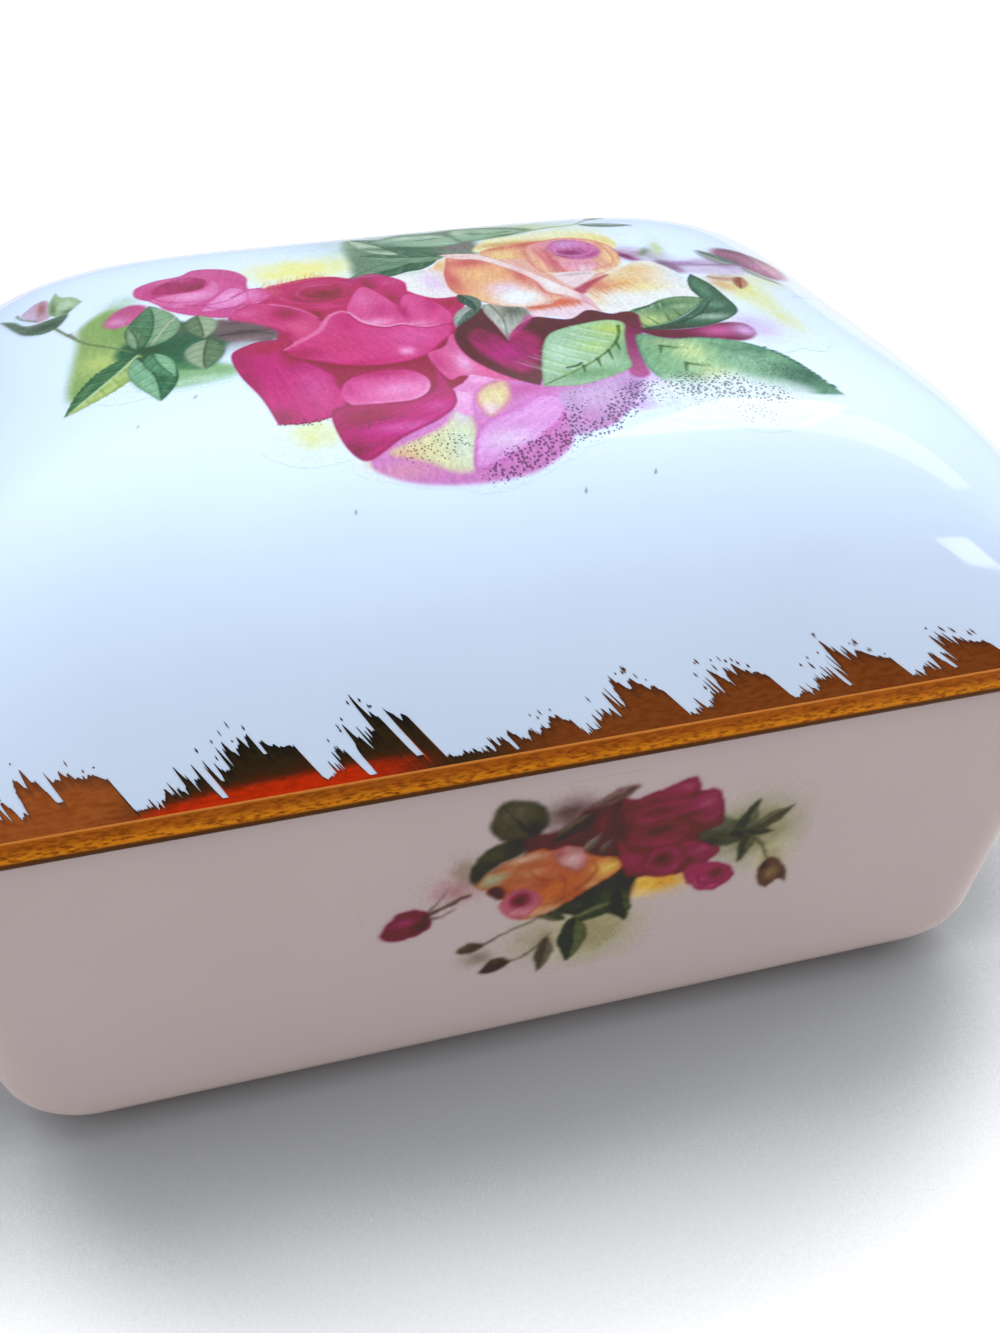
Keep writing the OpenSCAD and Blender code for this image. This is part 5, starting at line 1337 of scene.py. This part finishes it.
class Nodes:
    """Short calls for building a node material or world."""

    def __init__(self, tree):
        self.tree = tree
        tree.nodes.clear()

    def add(self, kind, **settings):
        node = self.tree.nodes.new(kind)
        for name, value in settings.items():
            setattr(node, name, value)
        return node

    def join(self, source, target):
        self.tree.links.new(source, target)

    def feed(self, socket, value):
        """Joins an output to the socket, or sets the socket to a plain value."""
        if isinstance(value, bpy.types.NodeSocket):
            self.join(value, socket)
        else:
            socket.default_value = value

    def math(self, operation, a, b=0.0):
        node = self.add("ShaderNodeMath", operation=operation)
        self.feed(node.inputs[0], a)
        self.feed(node.inputs[1], b)
        return node.outputs[0]

    def mix(self, share, a, b, blend="MIX"):
        node = self.add("ShaderNodeMix", data_type="RGBA", blend_type=blend)
        self.feed(node.inputs["Factor"], share)
        self.feed(node.inputs[6], a)
        self.feed(node.inputs[7], b)
        return node.outputs[2]

    def fit(self, value, low, high, to_low=0.0, to_high=1.0):
        """Runs smoothly from to_low to to_high while value goes from low to high."""
        node = self.add("ShaderNodeMapRange", interpolation_type="SMOOTHSTEP")
        for name, number in (("Value", value), ("From Min", low), ("From Max", high), ("To Min", to_low),
                             ("To Max", to_high)):
            self.feed(node.inputs[name], number)
        return node.outputs[0]

    def noise(self, place, size, detail=2.0):
        """Noise whose grains are about size millimetres across."""
        node = self.add("ShaderNodeTexNoise")
        self.join(place, node.inputs["Vector"])
        node.inputs["Scale"].default_value = 1 / (size * MM)
        node.inputs["Detail"].default_value = detail
        return node.outputs["Fac"]

    def bump(self, height, distance):
        """A surface made uneven by up to distance millimetres."""
        node = self.add("ShaderNodeBump")
        node.inputs["Strength"].default_value = 1.0
        node.inputs["Distance"].default_value = distance * MM
        self.join(height, node.inputs["Height"])
        return node.outputs["Normal"]


def new_material(name):
    """A material with one shader, and the place on the piece in metres."""
    material = bpy.data.materials.new(name)
    material.use_nodes = True
    nodes = Nodes(material.node_tree)
    shader = nodes.add("ShaderNodeBsdfPrincipled")
    output = nodes.add("ShaderNodeOutputMaterial")
    nodes.join(shader.outputs["BSDF"], output.inputs["Surface"])
    place = nodes.add("ShaderNodeTexCoord").outputs["Object"]
    return material, nodes, shader, place


def rgba(colour):
    """Three numbers as a socket's colour."""
    return (*[float(c) for c in colour], 1.0)


def porcelain(name, ground, light, gloss):
    """White glaze with a faint unevenness, as a dipped glaze has."""
    material, nodes, shader, place = new_material(name)
    colour = to_albedo(ground, light, gloss)
    cloud = nodes.noise(place, 14, 3)
    dull, clear = rgba(colour * 0.985), rgba(np.minimum(colour * 1.01, LIGHTEST))
    nodes.join(nodes.mix(nodes.fit(cloud, 0.3, 0.7), dull, clear), shader.inputs["Base Color"])
    glaze_finish(nodes, shader, place)
    return material


def glaze_finish(nodes, shader, place):
    """The gloss of the glaze, with a surface that is very slightly uneven."""
    shader.inputs["Roughness"].default_value = GLAZE_ROUGHNESS
    shader.inputs["IOR"].default_value = GLAZE_IOR
    shader.inputs["Specular IOR Level"].default_value = GLAZE_SPECULAR
    nodes.join(nodes.bump(nodes.noise(place, 7, 1), 0.012), shader.inputs["Normal"])


def print_on_glaze(name):
    """Ceramic print: the painted colours, a fine grain, and printed dots where the spray asks for them."""
    material, nodes, shader, place = new_material(name)
    paint = nodes.add("ShaderNodeAttribute", attribute_name="paint").outputs["Color"]
    dots = nodes.add("ShaderNodeAttribute", attribute_name="dots").outputs["Fac"]
    grainy = nodes.fit(nodes.noise(place, 0.35, 2), 0.25, 0.75, 0.93, 1.05)
    colour = nodes.mix(1.0, paint, grainy, "MULTIPLY")
    cells = nodes.add("ShaderNodeTexVoronoi")
    nodes.join(place, cells.inputs["Vector"])
    cells.inputs["Scale"].default_value = 1 / (DOT_PITCH * MM)
    spot = nodes.math("LESS_THAN", cells.outputs["Distance"], nodes.math("MULTIPLY", dots, DOT_SIZE))
    ink = nodes.mix(nodes.math("MULTIPLY", spot, 0.85), colour, rgba(DOT_INK), "MULTIPLY")
    nodes.join(ink, shader.inputs["Base Color"])
    glaze_finish(nodes, shader, place)
    return material


def gold(name, colour, dark, roughness, pitting, grain_size, edges=None):
    """Fired gold, worn in streaks that run round the rim. edges are bands of colour painted on the rim, going
    up: painted shade along its lower edge, a brighter lower part, and a painted highlight line along the top."""
    material, nodes, shader, place = new_material(name)
    streaks = nodes.add("ShaderNodeMapping")
    nodes.join(place, streaks.inputs["Vector"])
    streaks.inputs["Scale"].default_value = STREAK
    wear = nodes.noise(streaks.outputs[0], grain_size, 5)
    base = nodes.mix(nodes.fit(wear, 0.34, 0.7), rgba(colour), rgba(dark))
    thin = nodes.add("ShaderNodeAttribute", attribute_name="thin").outputs["Fac"]
    base = nodes.mix(nodes.fit(thin, 0.35, 1.0, 0.0, 0.75), base, rgba(THIN_GOLD))
    if edges:
        height = nodes.add("ShaderNodeSeparateXYZ")
        nodes.join(place, height.inputs[0])
        z = nodes.math("ADD", height.outputs[2], nodes.math("MULTIPLY", wear, EDGE_WAVE * MM))
        low, high = (BODY_H + EDGE_WAVE / 2) * MM, (RIM_TOP + EDGE_WAVE / 2) * MM
        glow = nodes.mix(nodes.fit(wear, 0.42, 0.7), rgba(edges[1]), rgba(dark))
        base = nodes.mix(nodes.fit(z, low + BRIGHT_FROM * MM, low + BRIGHT_TO * MM, 1.0, 0.0), base, glow)
        # Painted shade along the rim's lower edge
        base = nodes.mix(nodes.fit(z, low + RIM_SHADE_TO * MM, low + BRIGHT_FROM * MM, 1.0, 0.0), base,
                         rgba(edges[0]))
        # Painted highlight line along the rim's top
        base = nodes.mix(nodes.fit(z, high - HIGHLIGHT_FROM * MM, high - HIGHLIGHT_TO * MM), base, rgba(edges[2]))
    nodes.join(base, shader.inputs["Base Color"])
    shader.inputs["Metallic"].default_value = 1.0
    nodes.join(nodes.fit(wear, 0.3, 0.7, roughness, roughness * 1.6), shader.inputs["Roughness"])
    nodes.join(nodes.bump(nodes.noise(place, grain_size, 4), pitting), shader.inputs["Normal"])
    return material


# ---------------------------------------------------------------- light, floor and camera
# The room that the glaze and the gold reflect: behind and above the box, and in front of it
SKY_LOW = (0.4, 0.4, 0.42)
SKY_HIGH = (1.68, 1.70, 1.82)
ROOM_HIGH = (1.19, 1.28, 1.41)
ROOM_COPPER = (0.33, 0.145, 0.08)
ROOM_BROWN = (0.205, 0.09, 0.05)
ROOM_DARK = (0.03, 0.035, 0.04)
ROOM_RED = (0.54, 0.048, 0.018)
ROOM_SIDE = (0.95, 0.95, 0.88)
# What the camera sees instead of that room
BACKDROP = (1.0, 1.0, 1.0)
# The place on the lid that the windows face, in millimetres, and how far off they are, in metres
WINDOW_AIM = (22, -29, 62)
WINDOW_DISTANCE = 0.7
# The first side of the two near windows runs this way
WINDOW_SIDE = (0.67, -0.44, -0.35)
# The floor's half width, and how far it reaches towards the dim room, in metres
FLOOR_HALF = 2.5
FLOOR_FRONT = 0.5
# The floor's colour in the shadow painted close to the box and far from it, the colour of the light it sends
# back, and the strength of a glow painted on it away from the box, which only the camera sees
FLOOR_SHADOW = (0.34, 0.35, 0.35)
FLOOR_FAR = (0.97, 0.98, 0.97)
FLOOR_BOUNCE = (0.64, 0.58, 0.53)
FLOOR_GLOW = 0.36
# How far the shadow painted round the box reaches on the floor, in metres, and the openness where that starts
# and ends
SHADE_REACH = 0.105
SHADE_FROM, SHADE_TO = 0.61, 0.96
# The camera's place in millimetres, its angles in radians, and its lens
CAMERA_AT = (-27.0, -128.0, 111.2)
CAMERA_YAW = 0.2576
CAMERA_PITCH = 0.5917
CAMERA_ROLL = -0.0149
FOCAL_LENGTH = 38.89
SENSOR_WIDTH = 36
CLIP_START = 0.005


def make_world():
    """Bright above and behind. In front it is dim and brown, with a dark figure and a low red patch."""
    world = bpy.data.worlds.new("room")
    bpy.context.scene.world = world
    world.use_nodes = True
    nodes = Nodes(world.node_tree)
    direction = nodes.add("ShaderNodeSeparateXYZ")
    nodes.join(nodes.add("ShaderNodeTexCoord").outputs["Generated"], direction.inputs[0])
    x, y, z = direction.outputs
    behind = nodes.math("ADD", nodes.math("MULTIPLY", y, 0.8), nodes.math("MULTIPLY", z, 0.6))
    front = nodes.fit(behind, 0.0, 0.7, 1.0, 0.0)
    bright = nodes.mix(nodes.fit(z, 0.36, 0.75), rgba(SKY_LOW), rgba(SKY_HIGH))
    person = nodes.math("MULTIPLY", nodes.fit(x, -0.08, -0.02), nodes.fit(x, 0.17, 0.26, 1.0, 0.0))
    brown = nodes.mix(nodes.fit(x, -0.1, 0.1), rgba(ROOM_COPPER), rgba(ROOM_BROWN))
    dim = nodes.mix(person, brown, rgba(ROOM_DARK))
    low = nodes.math("MULTIPLY", nodes.fit(z, 0.008, 0.013, 1.0, 0.0), nodes.fit(x, 0.1, 0.17, 1.0, 0.0))
    dim = nodes.mix(nodes.math("MULTIPLY", person, low), dim, rgba(ROOM_RED))
    dim = nodes.mix(nodes.fit(nodes.math("ABSOLUTE", x), 0.8, 0.97), dim, rgba(ROOM_SIDE))
    dim = nodes.mix(nodes.fit(z, 0.35, 0.6), dim, rgba(ROOM_HIGH))
    back = nodes.add("ShaderNodeBackground")
    seen = nodes.add("ShaderNodeLightPath").outputs["Is Camera Ray"]
    nodes.join(nodes.mix(seen, nodes.mix(front, bright, dim), rgba(BACKDROP)), back.inputs["Color"])
    nodes.join(back.outputs[0], nodes.add("ShaderNodeOutputWorld").inputs["Surface"])


def add_window(name, toward, along, size, radiance):
    """A rectangular soft light that faces the lid. toward is its direction, along is the direction of its
    first side, and size is that side and the other one, for each metre of distance."""
    toward = Vector(toward).normalized()
    side = Vector(along)
    side = (side - toward * side.dot(toward)).normalized()
    data = bpy.data.lights.new(name, "AREA")
    data.shape = "RECTANGLE"
    data.size, data.size_y = size[0] * WINDOW_DISTANCE, size[1] * WINDOW_DISTANCE
    data.energy = radiance * math.pi * data.size * data.size_y
    lamp = bpy.data.objects.new(name, data)
    bpy.context.scene.collection.objects.link(lamp)
    axes = Matrix((side, toward.cross(side), toward)).transposed().to_4x4()
    lamp.matrix_world = Matrix.Translation(Vector(WINDOW_AIM) * MM + toward * WINDOW_DISTANCE) @ axes


def make_floor():
    """A pale floor with a shadow painted near the box and a glow painted further off that only the camera
    sees. It sends less light back than the camera sees.
    """
    mesh = bpy.data.meshes.new("floor")
    corners = [(-FLOOR_HALF, -FLOOR_FRONT, 0), (FLOOR_HALF, -FLOOR_FRONT, 0), (FLOOR_HALF, FLOOR_HALF, 0),
               (-FLOOR_HALF, FLOOR_HALF, 0)]
    mesh.from_pydata(corners, [], [(0, 1, 2, 3)])
    floor = bpy.data.objects.new("floor", mesh)
    bpy.context.scene.collection.objects.link(floor)
    material, nodes, shader, place = new_material("pale_floor")
    # Ambient occlusion paints the box's shadow on the floor
    near = nodes.add("ShaderNodeAmbientOcclusion", samples=8)
    near.inputs["Distance"].default_value = SHADE_REACH
    shade = nodes.fit(near.outputs["AO"], SHADE_FROM, SHADE_TO)
    pale = nodes.mix(shade, rgba(FLOOR_SHADOW), rgba(FLOOR_FAR))
    seen = nodes.add("ShaderNodeLightPath").outputs["Is Camera Ray"]
    nodes.join(nodes.mix(seen, rgba(FLOOR_BOUNCE), pale), shader.inputs["Base Color"])
    shader.inputs["Roughness"].default_value = 0.9
    shader.inputs["Emission Color"].default_value = rgba((1, 1, 1))
    # A painted glow, seen only by the camera, brightens the floor away from the box
    glow = nodes.math("MULTIPLY", nodes.math("MULTIPLY", seen, shade), FLOOR_GLOW)
    nodes.join(glow, shader.inputs["Emission Strength"])
    mesh.materials.append(material)
    floor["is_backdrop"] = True


def make_camera():
    """The camera of the photo, as it follows from the box's outline."""
    data = bpy.data.cameras.new("camera")
    data.lens = FOCAL_LENGTH
    data.sensor_width = SENSOR_WIDTH
    data.clip_start = CLIP_START
    camera = bpy.data.objects.new("camera", data)
    bpy.context.scene.collection.objects.link(camera)
    camera.matrix_world = (Matrix.Translation(Vector(CAMERA_AT) * MM) @ Matrix.Rotation(-CAMERA_YAW, 4, "Z")
                           @ Matrix.Rotation(math.pi / 2 - CAMERA_PITCH, 4, "X")
                           @ Matrix.Rotation(CAMERA_ROLL, 4, "Z"))
    bpy.context.scene.camera = camera


# ---------------------------------------------------------------- the whole scene
make_camera()
make_world()
make_floor()
add_window("window_left", (0.45, 0.20, 0.87), WINDOW_SIDE, (0.28, 0.34), 5.5)
add_window("window_right", (0.71, -0.05, 0.70), WINDOW_SIDE, (0.56, 0.26), 3.6)
add_window("far_window", (0.69, -0.62, 0.37), (0, 0, 1), (0.10, 0.12), 9)
bpy.context.scene.view_settings.view_transform = "Standard"

# The body's glaze colour carries painted shade of the front wall; the lid's carries partly painted cool
# light.
make_body(porcelain("body_glaze", FRONT_SHADED_GROUND, FRONT_LIGHT, FRONT_GLOSS))
make_lid(porcelain("lid_glaze", LID_GROUND, LID_LIGHT, LID_GLOSS))
# The rim's gold is darker and redder than the dome's, as painted shade.
make_gilding(gold("gilt_feathers", FEATHER_GOLD, FEATHER_WORN, 0.05, 0.0006, 0.3),
             gold("gilt_band_shaded", SHADED_BAND_GOLD, SHADED_BAND_WORN, 0.30, 0.008, 0.2, BAND_SHADE_AND_HIGHLIGHT))
make_sprays(print_on_glaze("lid_print"), print_on_glaze("front_print"))

{"cad": [list(corner) for corner in cad_box], "visual": [list(corner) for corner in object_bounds()]}
